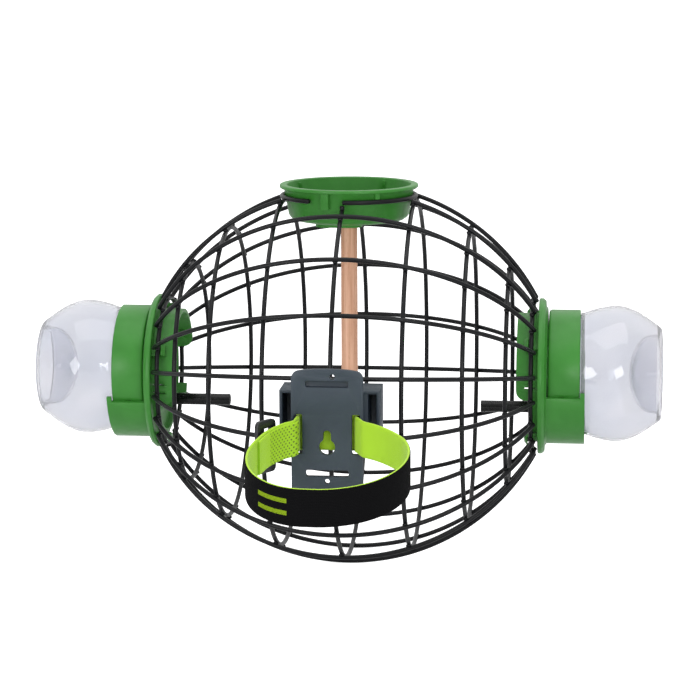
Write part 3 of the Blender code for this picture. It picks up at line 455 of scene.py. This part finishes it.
def plastic(
    name, colour, deep, grain=900.0, gloss=(0.3, 0.45), relief=0.00006, dust=0.25,
    dust_colour=(0.6, 0.58, 0.55, 1), **values
):
    """Moulded or coated surface in one colour family."""
    made, tree, shader = start_material(name, **values)
    place = tree.nodes.new("ShaderNodeTexCoord").outputs["Object"]
    skin = use_group(
        tree, MOULDED, Place=place, Colour=colour, Deep_Colour=deep, Grain_Size=grain, Gloss_Low=gloss[0],
        Gloss_High=gloss[1]
    )
    wear = use_group(tree, SCUFFS, Place=place, Amount=dust)
    base = mix_colour(
        tree, math_node(tree, "MULTIPLY", wear.outputs["Dust"], 0.35), skin.outputs["Colour"], dust_colour
    )
    tree.links.new(base, shader.inputs["Base Color"])
    rough = math_node(
        tree, "ADD", skin.outputs["Roughness"],
        math_node(tree, "MULTIPLY", math_node(tree, "ADD", wear.outputs["Dust"], wear.outputs["Scuff"]), 0.5),
        True
    )
    tree.links.new(rough, shader.inputs["Roughness"])
    bump(tree, shader, math_node(tree, "SUBTRACT", skin.outputs["Height"], wear.outputs["Scuff"]), 0.5, relief)
    return made


black_coat = plastic(
    "black powder coat", linear(18, 19, 22), linear(13, 14, 16), grain=2600.0, gloss=(0.27, 0.4),
    relief=0.00005, dust=0.04, Specular_IOR_Level=0.22
)
green_plastic = plastic(
    "leaf green moulding", linear(56, 128, 47), linear(48, 118, 39), grain=1500.0, gloss=(0.3, 0.42),
    relief=0.00003, dust=0.06, Specular_IOR_Level=0.3
)
slate_plastic = plastic(
    "slate moulding", linear(40, 52, 63), linear(34, 46, 57), grain=2100.0, gloss=(0.42, 0.56), relief=0.00008,
    dust=0.2
)
perch_plastic = plastic(
    "black perch tube", linear(13, 14, 15), linear(9, 10, 11), grain=2000.0, gloss=(0.18, 0.3), relief=0.00003,
    dust=0.05, Specular_IOR_Level=0.3
)
buckle_plastic = plastic(
    "black buckle moulding", linear(24, 25, 27), linear(18, 19, 21), grain=1800.0, gloss=(0.3, 0.44),
    relief=0.00004, dust=0.15
)
steel = plastic(
    "zinc plated steel", linear(178, 180, 184), linear(160, 163, 168), grain=1600.0, gloss=(0.22, 0.36),
    relief=0.00003, dust=0.2, Metallic=1.0
)


def make_clear():
    """Blown clear plastic: faint cool tint, slight waviness, fine handling marks in its gloss."""
    made, tree, shader = start_material("clear jar plastic", Transmission_Weight=0.88, IOR=1.4, Metallic=0.0)
    place = tree.nodes.new("ShaderNodeTexCoord").outputs["Object"]
    cloud = node(tree, "TexNoise", {"Vector": place, "Scale": 26.0, "Detail": 3.0})
    tree.links.new(
        mix_colour(tree, ramp(tree, cloud.outputs[0], 0.3, 0.75), linear(247, 247, 251), linear(238, 240, 247)),
        shader.inputs["Base Color"]
    )
    wear = use_group(tree, SCUFFS, Place=place, Amount=0.15)
    tree.links.new(
        math_node(tree, "ADD", math_node(tree, "MULTIPLY", wear.outputs["Scuff"], 0.3), 0.015),
        shader.inputs["Roughness"]
    )
    wave = node(tree, "TexNoise", {"Vector": place, "Scale": 45.0, "Detail": 1.5})
    bump(tree, shader, wave.outputs[0], 0.25, 0.0006)
    return made


def make_wood():
    made, tree, shader = start_material("turned beech", Specular_IOR_Level=0.35)
    centred = node(
        tree, "Mapping",
        {"Vector": tree.nodes.new("ShaderNodeTexCoord").outputs["Object"], "Location": tuple(-GLOBE)}
    )
    wood = use_group(tree, WOOD, Place=centred.outputs[0])
    tree.links.new(wood.outputs["Colour"], shader.inputs["Base Color"])
    tree.links.new(wood.outputs["Roughness"], shader.inputs["Roughness"])
    bump(tree, shader, wood.outputs["Height"], 0.5, 0.00012)
    return made


def webbing(name, light, dark, cord=0.0009, pick=0.0011, rough=0.8, relief=0.00025, **values):
    """Woven webbing with painted shade: the gaps between its cords are painted darker than the cords' tops."""
    made, tree, shader = start_material(name, **values)
    run = node(tree, "UVMap", uv_map="run").outputs[0]
    weave = use_group(tree, WEAVE, Run=run, Cord_Pitch=cord, Pick_Pitch=pick)
    # The dark colour is painted shade in the gaps of the weave, the light colour is the cords' tops.
    base = mix_colour(tree, weave.outputs["Shade"], dark, light)
    base = mix_colour(tree, math_node(tree, "MULTIPLY", weave.outputs["Fuzz"], 0.35), base, light)
    tree.links.new(base, shader.inputs["Base Color"])
    tree.links.new(
        node(
            tree, "MapRange", {0: weave.outputs["Fuzz"], 1: 0.3, 2: 0.7, 3: rough - 0.08, 4: rough + 0.08}
        ).outputs[0],
        shader.inputs["Roughness"]
    )
    bump(
        tree, shader,
        math_node(
            tree, "ADD", weave.outputs["Height"], math_node(tree, "MULTIPLY", weave.outputs["Fuzz"], 0.4)
        ),
        0.8, relief
    )
    return made, tree, shader, base, run


clear_plastic, beech = make_clear(), make_wood()
strap_black, tree, shader, base, run = webbing(
    "black webbing", linear(15, 15, 16), linear(3, 3, 4), rough=0.9, Specular_IOR_Level=0.05
)
# Two plain lime bars are printed on the outside of the front.
xy = node(tree, "SeparateXYZ", {0: run})
PRINT_FROM, PRINT_LEN = 0.150, 0.022
inside = math_node(
    tree, "MULTIPLY", math_node(tree, "GREATER_THAN", xy.outputs[0], PRINT_FROM),
    math_node(tree, "LESS_THAN", xy.outputs[0], PRINT_FROM + PRINT_LEN)
)
bars = math_node(
    tree, "LESS_THAN",
    math_node(
        tree, "ABSOLUTE", math_node(tree, "SUBTRACT", math_node(tree, "ABSOLUTE", xy.outputs[1]), 0.0035)
    ),
    0.0013
)
ink = math_node(
    tree, "MULTIPLY", math_node(tree, "MULTIPLY", inside, bars),
    ramp(tree, node(tree, "TexNoise", {"Vector": run, "Scale": 1500.0, "Detail": 2.0}).outputs[0], 0.3, 0.42)
)
tree.links.new(mix_colour(tree, ink, base, linear(120, 146, 26)), shader.inputs["Base Color"])
lime_web, *_ = webbing(
    "lime webbing", linear(166, 208, 26), linear(126, 172, 8), cord=0.0007, pick=0.0010, rough=0.7,
    relief=0.00016, Sheen_Weight=0.2, Sheen_Roughness=0.4
)
lime_dots, tree, shader, base, run = webbing(
    "lime hook patch", linear(162, 204, 26), linear(124, 170, 8), cord=0.0007, pick=0.0010, rough=0.7,
    relief=0.00016
)
# Staggered rows of small holes, painted as dots of painted shade in a dark lime: distance to the nearest middle of
# a brick-laid grid.
xy = node(tree, "SeparateXYZ", {0: run})
PITCH = 0.0027
row = math_node(tree, "DIVIDE", xy.outputs[1], PITCH * 0.62)
shift = math_node(tree, "MULTIPLY", math_node(tree, "FLOOR", row), 0.5)
across = math_node(tree, "SUBTRACT", math_node(tree, "FRACT", row), 0.5)
along = math_node(
    tree, "SUBTRACT",
    math_node(tree, "FRACT", math_node(tree, "ADD", math_node(tree, "DIVIDE", xy.outputs[0], PITCH), shift)),
    0.5
)
near = math_node(
    tree, "SQRT",
    math_node(
        tree, "ADD", math_node(tree, "POWER", math_node(tree, "MULTIPLY", across, 0.62), 2.0),
        math_node(tree, "POWER", along, 2.0)
    )
)
painted_hole_shade = math_node(tree, "SUBTRACT", 1.0, ramp(tree, near, 0.14, 0.24))
# The holes' painted shade: dark lime is mixed in where a hole lies.
tree.links.new(
    mix_colour(tree, math_node(tree, "MULTIPLY", painted_hole_shade, 0.85), base, linear(48, 66, 12)),
    shader.inputs["Base Color"]
)


def dress(made, material, body, replaces=()):
    """Gives a piece its material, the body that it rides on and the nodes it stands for."""
    for one in material if isinstance(material, (list, tuple)) else [material]:
        made.data.materials.append(one)
    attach(made, body)
    if replaces:
        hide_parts(*([replaces] if isinstance(replaces, str) else replaces))
    return made


# ---------------------------------------------------------------- cage wires
RING_POINTS, MERIDIAN_POINTS = 144, 72
opening_z = side_radius(RING_X[0]) + LAYER + 0.6 * MM
number = 1
for x in [-v for v in reversed(RING_X)] + [0.0] + list(RING_X):
    radius = float(side_radius(x))
    if x:
        path = around(x, radius, np.arange(RING_POINTS) / RING_POINTS * TAU)
        dress(
            wire(f"hoop_{number}", path, (1, 0, 0), closed=True), black_coat, "cage", f"cage_ring_{number}",
        )
    else:
        start = math.asin(OPENING_R / radius)
        path = around(0.0, radius, np.linspace(start, TAU - start, RING_POINTS))
        top = GLOBE[2] + opening_z - WIRE_R - 0.3 * MM
        stub = np.linspace(0, 1, 8, endpoint=False)[:, None]
        head, tail = path[0] * (1, 1, 0) + (0, 0, top), path[-1] * (1, 1, 0) + (0, 0, top)
        # The wire turns up to the opening ring through a tight bend.
        path = np.concatenate((head + (path[0] - head) * stub, path, (tail + (path[-1] - tail) * stub)[::-1]))
        dress(wire(f"hoop_{number}", path, (1, 0, 0)), black_coat, "cage", f"cage_ring_{number}")
    number += 1
for side, sign in (("left", -1), ("right", 1)):
    path = around(sign * END_RING_X, side_radius(END_RING_X), np.arange(RING_POINTS) / RING_POINTS * TAU)
    dress(
        wire(f"end_hoop_{side}", path, (1, 0, 0), closed=True), black_coat, "cage", f"end_ring_{side}",
    )
angle = np.radians(np.linspace(-90, 240.6, RING_POINTS))
path = np.stack(
    (OPENING_R * np.cos(angle), OPENING_R * np.sin(angle), np.full_like(angle, opening_z)), 1
) + GLOBE
dress(wire("dish_hoop", path, (0, 0, 1)), black_coat, "cage", "opening_ring")

tip = math.asin((FLANGE_X - 0.3 * MM - WIRE_R) / (ARC_R + LAYER))


def meridian_path(t, turn):
    """Points of a side curve: X is R sin t, and the distance from the port axis is R cos t less the drop."""
    return around((ARC_R + LAYER) * np.sin(t), (ARC_R + LAYER) * np.cos(t) - ARC_DROP, turn)


number = 1
for k in range(20):
    turn = TAU / 20 * (k + 0.5)
    normal = (0, math.cos(turn), math.sin(turn))
    name = f"meridian_{number:02d}"
    if name in nodes:
        dress(
            wire(f"rib_{number:02d}", meridian_path(np.linspace(-tip, tip, MERIDIAN_POINTS), turn), normal),
            black_coat, "cage", name
        )
    else:
        for side, sign in (("left", -1), ("right", 1)):
            low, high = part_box(f"{name}_{side}")
            near = abs((high if sign < 0 else low).x - GLOBE[0])
            first = math.asin((near + WIRE_R * 0.3) / (ARC_R + LAYER))
            path = meridian_path(sign * np.linspace(first, tip, MERIDIAN_POINTS // 2), turn)
            dress(
                wire(f"rib_{number:02d}_{side}", path, normal), black_coat, "cage", f"{name}_{side}",
            )
    number += 1

# Where a rib crosses a hoop the two are welded: a low lens of metal fills the corner between them.
u, v = np.meshgrid(np.linspace(0, math.pi, 6), np.arange(8) / 8 * TAU, indexing="ij")
lens = np.stack(
    (1.9 * MM * np.cos(u), 1.9 * MM * np.sin(u) * np.cos(v), 1.35 * MM * np.sin(u) * np.sin(v)), -1
).reshape(-1, 3)
lens_faces, _ = grid_faces(6, 8, close_columns=True)
hoops = [-v for v in reversed(RING_X)] + list(RING_X) + [0.0] + [-END_RING_X, END_RING_X]
points, faces = [], []
for x in hoops:
    for k in range(20):
        turn = TAU / 20 * (k + 0.5)
        radius = float(side_radius(x)) + LAYER / 2
        where = around(x, radius, turn)
        if where[2] - GLOBE[2] > opening_z - 12 * MM and math.hypot(
            where[0] - GLOBE[0], where[1] - GLOBE[1]
        ) < OPENING_R + 3 * MM:
            continue
        c, s = math.cos(turn), math.sin(turn)
        # Local axes: along the port axis, round it, and outwards.
        axes = np.array(((1, 0, 0), (0, -c, -s), (0, -s, c)))
        faces.append(lens_faces + len(points) * len(lens))
        points.append(lens @ axes + where)
welds = closed_up(mesh_object("weld_spots", np.concatenate(points), np.concatenate(faces)))
dress(welds, black_coat, "cage", ())


# ---------------------------------------------------------------- ports, collars and jars
def port_matrix(side, rise=0.0):
    """Local Z points out along the port axis and local X is the port's own up."""
    sign = -1 if side == "left" else 1
    basis = Matrix(((0, 0, sign), (0, -sign, 0), (1, 0, 0))).to_4x4()
    turn = Matrix.Rotation(math.radians(PORT_TURN[side]), 4, "X")
    return Matrix.Translation(
        Vector(GLOBE) + Vector((sign * FLANGE_X, 0, 0))
    ) @ turn @ basis @ Matrix.Translation((rise, 0, 0))


def jar_profile():
    """Outside from the dome's middle over the foot to the neck, then inside back to the dome, as (radius,
    distance from the flange).
    """
    low, length, widest, foot, bead = 29.2, 51.5, 44.7, 28.6, 39.8
    end = low + length
    rising = [
        (bead + (widest - bead) * f, low + length * t) for t,
        f in ((0.03, 0.12), (0.08, 0.30), (0.15, 0.54), (0.26, 0.82), (0.39, 1.0))
    ]
    falling = [
        (foot + (widest - foot) * f, low + length * t) for t,
        f in ((0.51, 0.97), (0.61, 0.87), (0.70, 0.745), (0.79, 0.57), (0.88, 0.37), (0.94, 0.235))
    ]
    body = smooth_profile([(bead, low)] + rising + falling, 4)
    corner = rounded_profile(
        [body[-1], (foot + 1.6, end - 0.2), (foot - 1.2, end), (24.9, end - 0.2), (24.4, end - 3.0)],
        (0, 1.6, 0.8, 0.5, 0), 5
    )
    a = np.linspace(0, math.pi / 2, 14)
    dome = np.stack((24.4 * np.cos(a), end - 6.6 - 13.4 * np.sin(a)), 1)
    dome[-1, 0] = 0
    neck = rounded_profile(
        [body[0], (bead, 27.5), (38.5, 27.5), (38.5, 6.8), (36.9, 6.8), (36.9, 28.0)],
        (0, 0.5, 0.2, 0.4, 0.4, 0), 4
    )
    outside = np.concatenate((dome[::-1], corner[::-1], body[-2::-1], neck[1:]))
    inner_body = body[2:-1] - np.array((1.6, 0.0))
    inner_corner = smooth_profile(
        [
            inner_body[-1], (foot + 1.2, end - 2.6), (foot - 1.0, end - 1.7), (26.6, end - 2.6),
            (26.0, end - 5.0)
        ],
        4
    )
    inner_dome = np.stack((26.0 * np.cos(a), end - 6.6 - 15.0 * np.sin(a)), 1)
    inner_dome[-1, 0] = 0
    return np.concatenate((outside, inner_body, inner_corner[1:], inner_dome[1:])) * MM


def block_on_ring(inner, outer, low, high, middle, half, matrix):
    """A closed block between two radii and two heights over an arc: eight corners swept over five angles."""
    a = np.linspace(middle - half, middle + half, 7)
    loop = np.array(((inner, low), (outer, low), (outer, high), (inner, high)))
    points = np.stack(
        (np.outer(np.cos(a), loop[:, 0]), np.outer(np.sin(a), loop[:, 0]), np.tile(loop[:, 1], (7, 1))), 2
    ).reshape(-1, 3)
    faces, _ = grid_faces(7, 4, close_columns=True)
    ends = np.array(((0, 1, 2, 3), (24, 25, 26, 27)))
    m = np.array(matrix)
    return points @ m[:3, :3].T + m[:3, 3], np.concatenate((faces, ends))


for side, sign in (("left", -1), ("right", 1)):
    seat = port_matrix(side, SEAT_RISE)
    jar = lathe(f"clear_jar_{side}", jar_profile(), seat, 112, 60)
    dress(jar, clear_plastic, f"jar_{side}", f"jar_{side}")
    points, faces = [], []
    for n in range(3):
        p, f = block_on_ring(38.2 * MM, 39.6 * MM, 10.0 * MM, 12.2 * MM, TAU / 3 * n, math.radians(4.5), seat)
        faces.append(f + sum(map(len, points)))
        points.append(p)
    lugs = closed_up(mesh_object(f"jar_lugs_{side}", np.concatenate(points), np.concatenate(faces)), 30)
    dress(lugs, clear_plastic, f"jar_{side}", ())

    port = port_matrix(side)
    r, wall, reach = 3.85 * MM, 1.0 * MM, -PERCH_REACH[side]
    tube = rounded_profile(
        [
            (r - wall, 0.0021), (r, 0.0021), (r, reach), (r - wall, reach), (r - wall, 0.0021)
        ], (0, 0.3 * MM, 0.45 * MM, 0.3 * MM, 0), 4
    )
    perch = lathe(f"perch_tube_{side}", tube, port @ Matrix.Translation((-PERCH_DROP, 0, 0)), 40, 60)
    dress(perch, perch_plastic, f"port_{side}", f"perch_{side}")

    for node_name, body in ((f"port_{side}", f"port_{side}"), (f"collar_{side}", f"collar_{side}")):
        dress(
            merged_copy(f"{node_name}_moulding", node_name, 0.35 * MM), green_plastic, body, node_name
        )

# ---------------------------------------------------------------- dish and rod
dress(merged_copy("dish_moulding", "dish", 0.35 * MM), green_plastic, "dish", "dish")
low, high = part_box("rod")
middle = ((low.x + high.x) / 2, (low.y + high.y) / 2)
rod_r = (high.x - low.x) / 2
t = np.linspace(0, 1, 40)
shaft = np.stack(
    (rod_r * (1 - 0.012 * np.sin(t * 9.0) ** 2), high.z - low.z - 1.6 * MM - t * (high.z - low.z - 3.2 * MM)), 1
)
shaft = np.concatenate(
    (
        (
            (0, high.z - low.z), (rod_r - 1.2 * MM, high.z - low.z),
            (rod_r - 0.4 * MM, high.z - low.z - 0.5 * MM)
        ),
        shaft, ((rod_r - 0.5 * MM, 0.4 * MM), (rod_r - 1.3 * MM, 0), (0, 0))
    )
)
dress(lathe("beech_rod", shaft, Matrix.Translation((*middle, low.z)), 48), beech, "dish", "rod")

# ---------------------------------------------------------------- plate, holder and buckle
dress(
    merged_copy("back_plate_moulding", "strap_plate", 0.4 * MM), slate_plastic, "tree_mount", "strap_plate",
)
dress(
    merged_copy("buckle_moulding", "strap_buckle", 0.5 * MM), buckle_plastic, "tree_mount", "strap_buckle",
)
dress(merged_copy("holder_moulding", "holder", 0.35 * MM), slate_plastic, "cage", "holder")
dress(merged_copy("clamp_moulding", "clamp_plate", 0.4 * MM), slate_plastic, "cage", "clamp_plate")
for n in (1, 2):
    dress(
        merged_copy(f"clamp_screw_finish_{n}", f"clamp_screw_{n}", 0.2 * MM), steel, "cage", f"clamp_screw_{n}",
    )

# ---------------------------------------------------------------- strap
STRAP_W, STRAP_T, STRAP_Z = 22.0 * MM, 2.0 * MM, -15.5 * MM
LOOP_W, LOOP_DEPTH = 100.0 * MM, 101.0 * MM
LOOP_STEPS, LOOP_OPEN_DEG = 40, 27  # spans of the loop's line, and half the angle left open at the plate
LOOP_NARROW, LOOP_SHIFT = 4 * MM, 4 * MM  # the left side is pulled in, and the front moved to the right
LOOP_DROOP, LOOP_LEAN = 0.205, 0.03
SLOT_X = 17.4 * MM  # the plate's side slots
TURN_X, BEHIND_Y = 15.8 * MM, 6.1 * MM  # where the strap turns behind the plate
SPAN_POINTS = 7


def strap_line():
    """The strap's middle line seen from above: an oval open at the back, whose ends run through the plate's
    side slots and behind it.
    """
    k = np.arange(LOOP_STEPS + 1)
    a = np.radians(90 - LOOP_OPEN_DEG - (360 - 2 * LOOP_OPEN_DEG) * k / LOOP_STEPS)
    x = ((LOOP_W - STRAP_T) / 2 - np.where(np.cos(a) < 0, LOOP_NARROW, 0)) * np.cos(a)
    y = -LOOP_DEPTH / 2 + (LOOP_DEPTH - STRAP_T) / 2 * np.sin(a)
    x = x + LOOP_SHIFT * np.minimum(1.0, -y / 0.030)
    loop = np.stack((x, y), 1)
    right, left = loop[0], loop[-1]
    lead = np.array(((-SLOT_X, 2.0 * MM), (-TURN_X, BEHIND_Y), (TURN_X, BEHIND_Y), (SLOT_X, 2.0 * MM)))
    before = left * (0.5, 0.45) + (-SLOT_X * 0.5, 0)
    after = right * (0.5, 0.45) + (SLOT_X * 0.5, 0)
    return np.concatenate((loop, before[None], lead, after[None]))


def closed_curve(points, per_span=SPAN_POINTS):
    """A closed Catmull-Rom curve through the points."""
    q = np.concatenate((points[-1:], points, points[:2]))
    t = np.linspace(0, 1, per_span, endpoint=False)[None, :, None]
    a, b, c, d = (q[k : len(q) - 3 + k][:, None] for k in range(4))
    span = 0.5 * (2 * b + (c - a) * t + (2 * a - 5 * b + 4 * c - d) * t**2 + (3 * b - a - 3 * c + d) * t**3)
    return span.reshape(-1, points.shape[1])


def drop(x, y):
    """How far the strap hangs below its slots: it grows with the distance in front of the plate, and more on
    the left.
    """
    return np.maximum(0, -y) * (LOOP_DROOP + LOOP_LEAN * np.maximum(0, -x) / (LOOP_W / 2))


def band_section(width, thickness, edge_points=7):
    """A band's cross-section, from the middle of its outer face round: flat faces joined by half-round edges.
    Columns are outward offset and height.
    """
    r = thickness / 2
    flat = np.linspace(-1, 1, 9)[1:-1] * (width / 2 - r)
    a = np.linspace(0, math.pi, edge_points)
    top = np.stack((r * np.cos(a), width / 2 - r + r * np.sin(a)), 1)
    bottom = np.stack((-r * np.cos(a), -(width / 2 - r) - r * np.sin(a)), 1)
    outer = np.stack((np.full(7, r), flat), 1)
    inner = np.stack((np.full(7, -r), flat[::-1]), 1)
    return np.concatenate((outer, top, inner, bottom))


def band(line, section, shift=0.0, closed=True):
    """The section carried along the line: offset square to it, height along Z, and lowered by the drop.
    """
    ahead, behind = (np.roll(line, -1, 0), np.roll(line, 1, 0)) if closed else (
        np.vstack((line[1:], 2 * line[-1] - line[-2])), np.vstack((2 * line[0] - line[1], line[:-1]))
    )
    tangent = ahead - behind
    tangent /= np.linalg.norm(tangent, axis=1)[:, None]
    outward = np.stack((-tangent[:, 1], tangent[:, 0]), 1)
    offset = section[None, :, 0] + shift
    xy = line[:, None] + outward[:, None] * offset[..., None]
    z = STRAP_Z + section[None, :, 1] - drop(xy[..., 0], xy[..., 1])
    points = np.concatenate((xy, z[..., None]), 2)
    faces, corners = grid_faces(len(line), len(section), close_rows=closed, close_columns=True)
    run = np.concatenate(([0], np.cumsum(np.linalg.norm(np.diff(line, axis=0), axis=1))))
    run = np.append(run, run[-1] + np.linalg.norm(line[0] - line[-1]))
    heights = np.append(section[:, 1], section[0, 1])
    uv = np.stack((run[corners[..., 0]], heights[corners[..., 1]]), 2)
    flat = points.reshape(-1, 3)
    if not closed:
        n = len(section)
        middles = points[[0, -1]].mean(1)
        flat = np.concatenate((flat, middles))
        j = np.arange(n)
        first = np.stack((np.full(n, len(flat) - 2), (j + 1) % n, j, j), 1)
        last = np.stack(
            (
                np.full(n, len(flat) - 1), (len(line) - 1) * n + j, (len(line) - 1) * n + (j + 1) % n,
                (len(line) - 1) * n + (j + 1) % n
            ),
            1
        )
        return flat, faces, uv, np.concatenate((first, last))[:, :3], corners
    return flat, faces, uv, None, corners


line = closed_curve(strap_line())
section = band_section(STRAP_W, STRAP_T)
points, faces, uv, _, corners = band(line, section)
strap = mesh_object("woven_strap", points, faces, uv)
# Faces whose middle lies on the inner half of the thickness are lime.
middle_offset = section[corners[..., 1] % len(section), 0].mean(1)
strap.data.polygons.foreach_set("material_index", (middle_offset < 0.45 * STRAP_T / 2).astype(np.int32))
dress(strap, [strap_black, lime_web], "tree_mount", "strap")

# The strap's tail comes back through the buckle and lies inside the loop, its hook patch towards the plate.
tail_line = line[34 * SPAN_POINTS + 3 : 41 * SPAN_POINTS - 2]
tail_section = band_section(STRAP_W - 1.6 * MM, 1.3 * MM)
PATCH_FROM = 0.34  # the hook patch covers the tail from this share of its length on
points, faces, uv, caps, corners = band(tail_line, tail_section, shift=-1.75 * MM, closed=False)
mesh = bpy.data.meshes.new("strap_tail")
mesh.from_pydata(points.tolist(), [], faces.tolist() + caps.tolist())
layer = mesh.uv_layers.new(name="run")
spread = np.zeros((len(caps), 3, 2))
layer.data.foreach_set(
    "uv", np.concatenate((uv.reshape(-1, 2), spread.reshape(-1, 2))).astype(np.float32).ravel()
)
tail = bpy.data.objects.new("strap_tail", mesh)
bpy.context.scene.collection.objects.link(tail)
row_of = np.concatenate((corners[..., 0].mean(1), np.zeros(len(caps))))
mesh.polygons.foreach_set("material_index", (row_of > len(tail_line) * PATCH_FROM).astype(np.int32))
mesh.shade_smooth()
closed_up(tail, 50)
dress(tail, [lime_web, lime_dots], "tree_mount", ())

# ---------------------------------------------------------------- floor, light and camera
floor_mesh = bpy.data.meshes.new("floor")
side = 60.0
floor_z = cad_box[0][2] - 0.0002
floor_mesh.from_pydata(
    [(-side, -side, floor_z), (side, -side, floor_z), (side, side, floor_z), (-side, side, floor_z)], [],
    [(0, 1, 2, 3)]
)
floor = bpy.data.objects.new("floor", floor_mesh)
bpy.context.scene.collection.objects.link(floor)
floor_paint, tree, shader = start_material("pale floor", Roughness=0.9, Specular_IOR_Level=0.1)
tree.links.new(
    mix_colour(
        tree,
        node(
            tree, "TexNoise", {"Scale": 4.0, "Vector": tree.nodes.new("ShaderNodeTexCoord").outputs["Object"]}
        ).outputs[0],
        (0.80, 0.80, 0.81, 1), (0.78, 0.78, 0.79, 1)
    ),
    shader.inputs["Base Color"]
)
# The floor is lifted to white where it is seen directly, and stays a pale grey in what it lights and mirrors.
shader.inputs["Emission Color"].default_value = (1, 1, 1, 1)
tree.links.new(
    math_node(tree, "MULTIPLY", tree.nodes.new("ShaderNodeLightPath").outputs["Is Camera Ray"], 0.75),
    shader.inputs["Emission Strength"]
)
floor_mesh.materials.append(floor_paint)

world = bpy.data.worlds.new("studio")
bpy.context.scene.world = world
world.use_nodes = True
tree = world.node_tree
# Bright above, a lit backdrop behind, and a dim room in front.
way = node(tree, "SeparateXYZ", {0: tree.nodes.new("ShaderNodeTexCoord").outputs["Generated"]})
FROM_ABOVE, FROM_BEHIND, ALL_ROUND = 0.62, 0.35, 0.40
level = math_node(tree, "MULTIPLY_ADD", ramp(tree, way.outputs[2], 0.05, 0.75), FROM_ABOVE)
behind = math_node(tree, "MULTIPLY_ADD", ramp(tree, way.outputs[1], -0.1, 0.6), FROM_BEHIND)
behind.node.inputs[2].default_value = ALL_ROUND
tree.links.new(behind, level.node.inputs[2])
tree.links.new(level, tree.nodes["Background"].inputs["Strength"])
tree.nodes["Background"].inputs["Color"].default_value = (1, 1, 1, 1)


def lamp(name, where, size, watts, turn=0.0):
    """A soft rectangular lamp that faces the middle of the cage."""
    data = bpy.data.lights.new(name, "AREA")
    data.shape = "RECTANGLE"
    data.size, data.size_y = size
    data.energy = watts
    made = bpy.data.objects.new(name, data)
    bpy.context.scene.collection.objects.link(made)
    aim = (Vector(GLOBE) - Vector(where)).to_track_quat("-Z", "Y").to_matrix().to_4x4()
    made.matrix_world = Matrix.Translation(where) @ aim @ Matrix.Rotation(math.radians(turn), 4, "Z")
    return made


lamp("front_left", (-0.31, -0.40, 0.10), (0.22, 0.22), 0.9, 45)
lamp("front_right", (0.25, -0.42, 0.12), (0.24, 0.17), 0.8, 20)
lamp("overhead", (0.1, -0.1, 1.5), (1.6, 1.2), 7.0)

VIEW_DEG = (5.79, 10.2, -0.22)  # azimuth, elevation and roll
EYE_MM = (-0.2067, -15.2, 1593.67)  # how far the cage's middle lies right of, above and in front of the camera
FOCAL_PER_WIDTH = 2390.5 / 700
azimuth, elevation, roll = (math.radians(v) for v in VIEW_DEG)
forward = Vector(
    (-math.sin(azimuth) * math.cos(elevation), math.cos(azimuth) * math.cos(elevation), -math.sin(elevation))
)
right = Vector((math.cos(azimuth), math.sin(azimuth), 0))
above = right.cross(forward)
right, above = right * math.cos(roll) + above * math.sin(roll), above * math.cos(roll) - right * math.sin(roll)
eye = Vector(GLOBE) - right * (EYE_MM[0] * MM) - above * (EYE_MM[1] * MM) - forward * (EYE_MM[2] * MM)
camera_data = bpy.data.cameras.new("camera")
camera_data.sensor_width = 36.0
camera_data.lens = 36.0 * FOCAL_PER_WIDTH
camera_data.dof.use_dof = False
camera = bpy.data.objects.new("camera", camera_data)
bpy.context.scene.collection.objects.link(camera)
camera.matrix_world = Matrix(
    (
        (right.x, above.x, -forward.x, eye.x), (right.y, above.y, -forward.y, eye.y),
        (right.z, above.z, -forward.z, eye.z), (0, 0, 0, 1)
    )
)
bpy.context.scene.camera = camera
bpy.context.scene.view_settings.view_transform = "Standard"
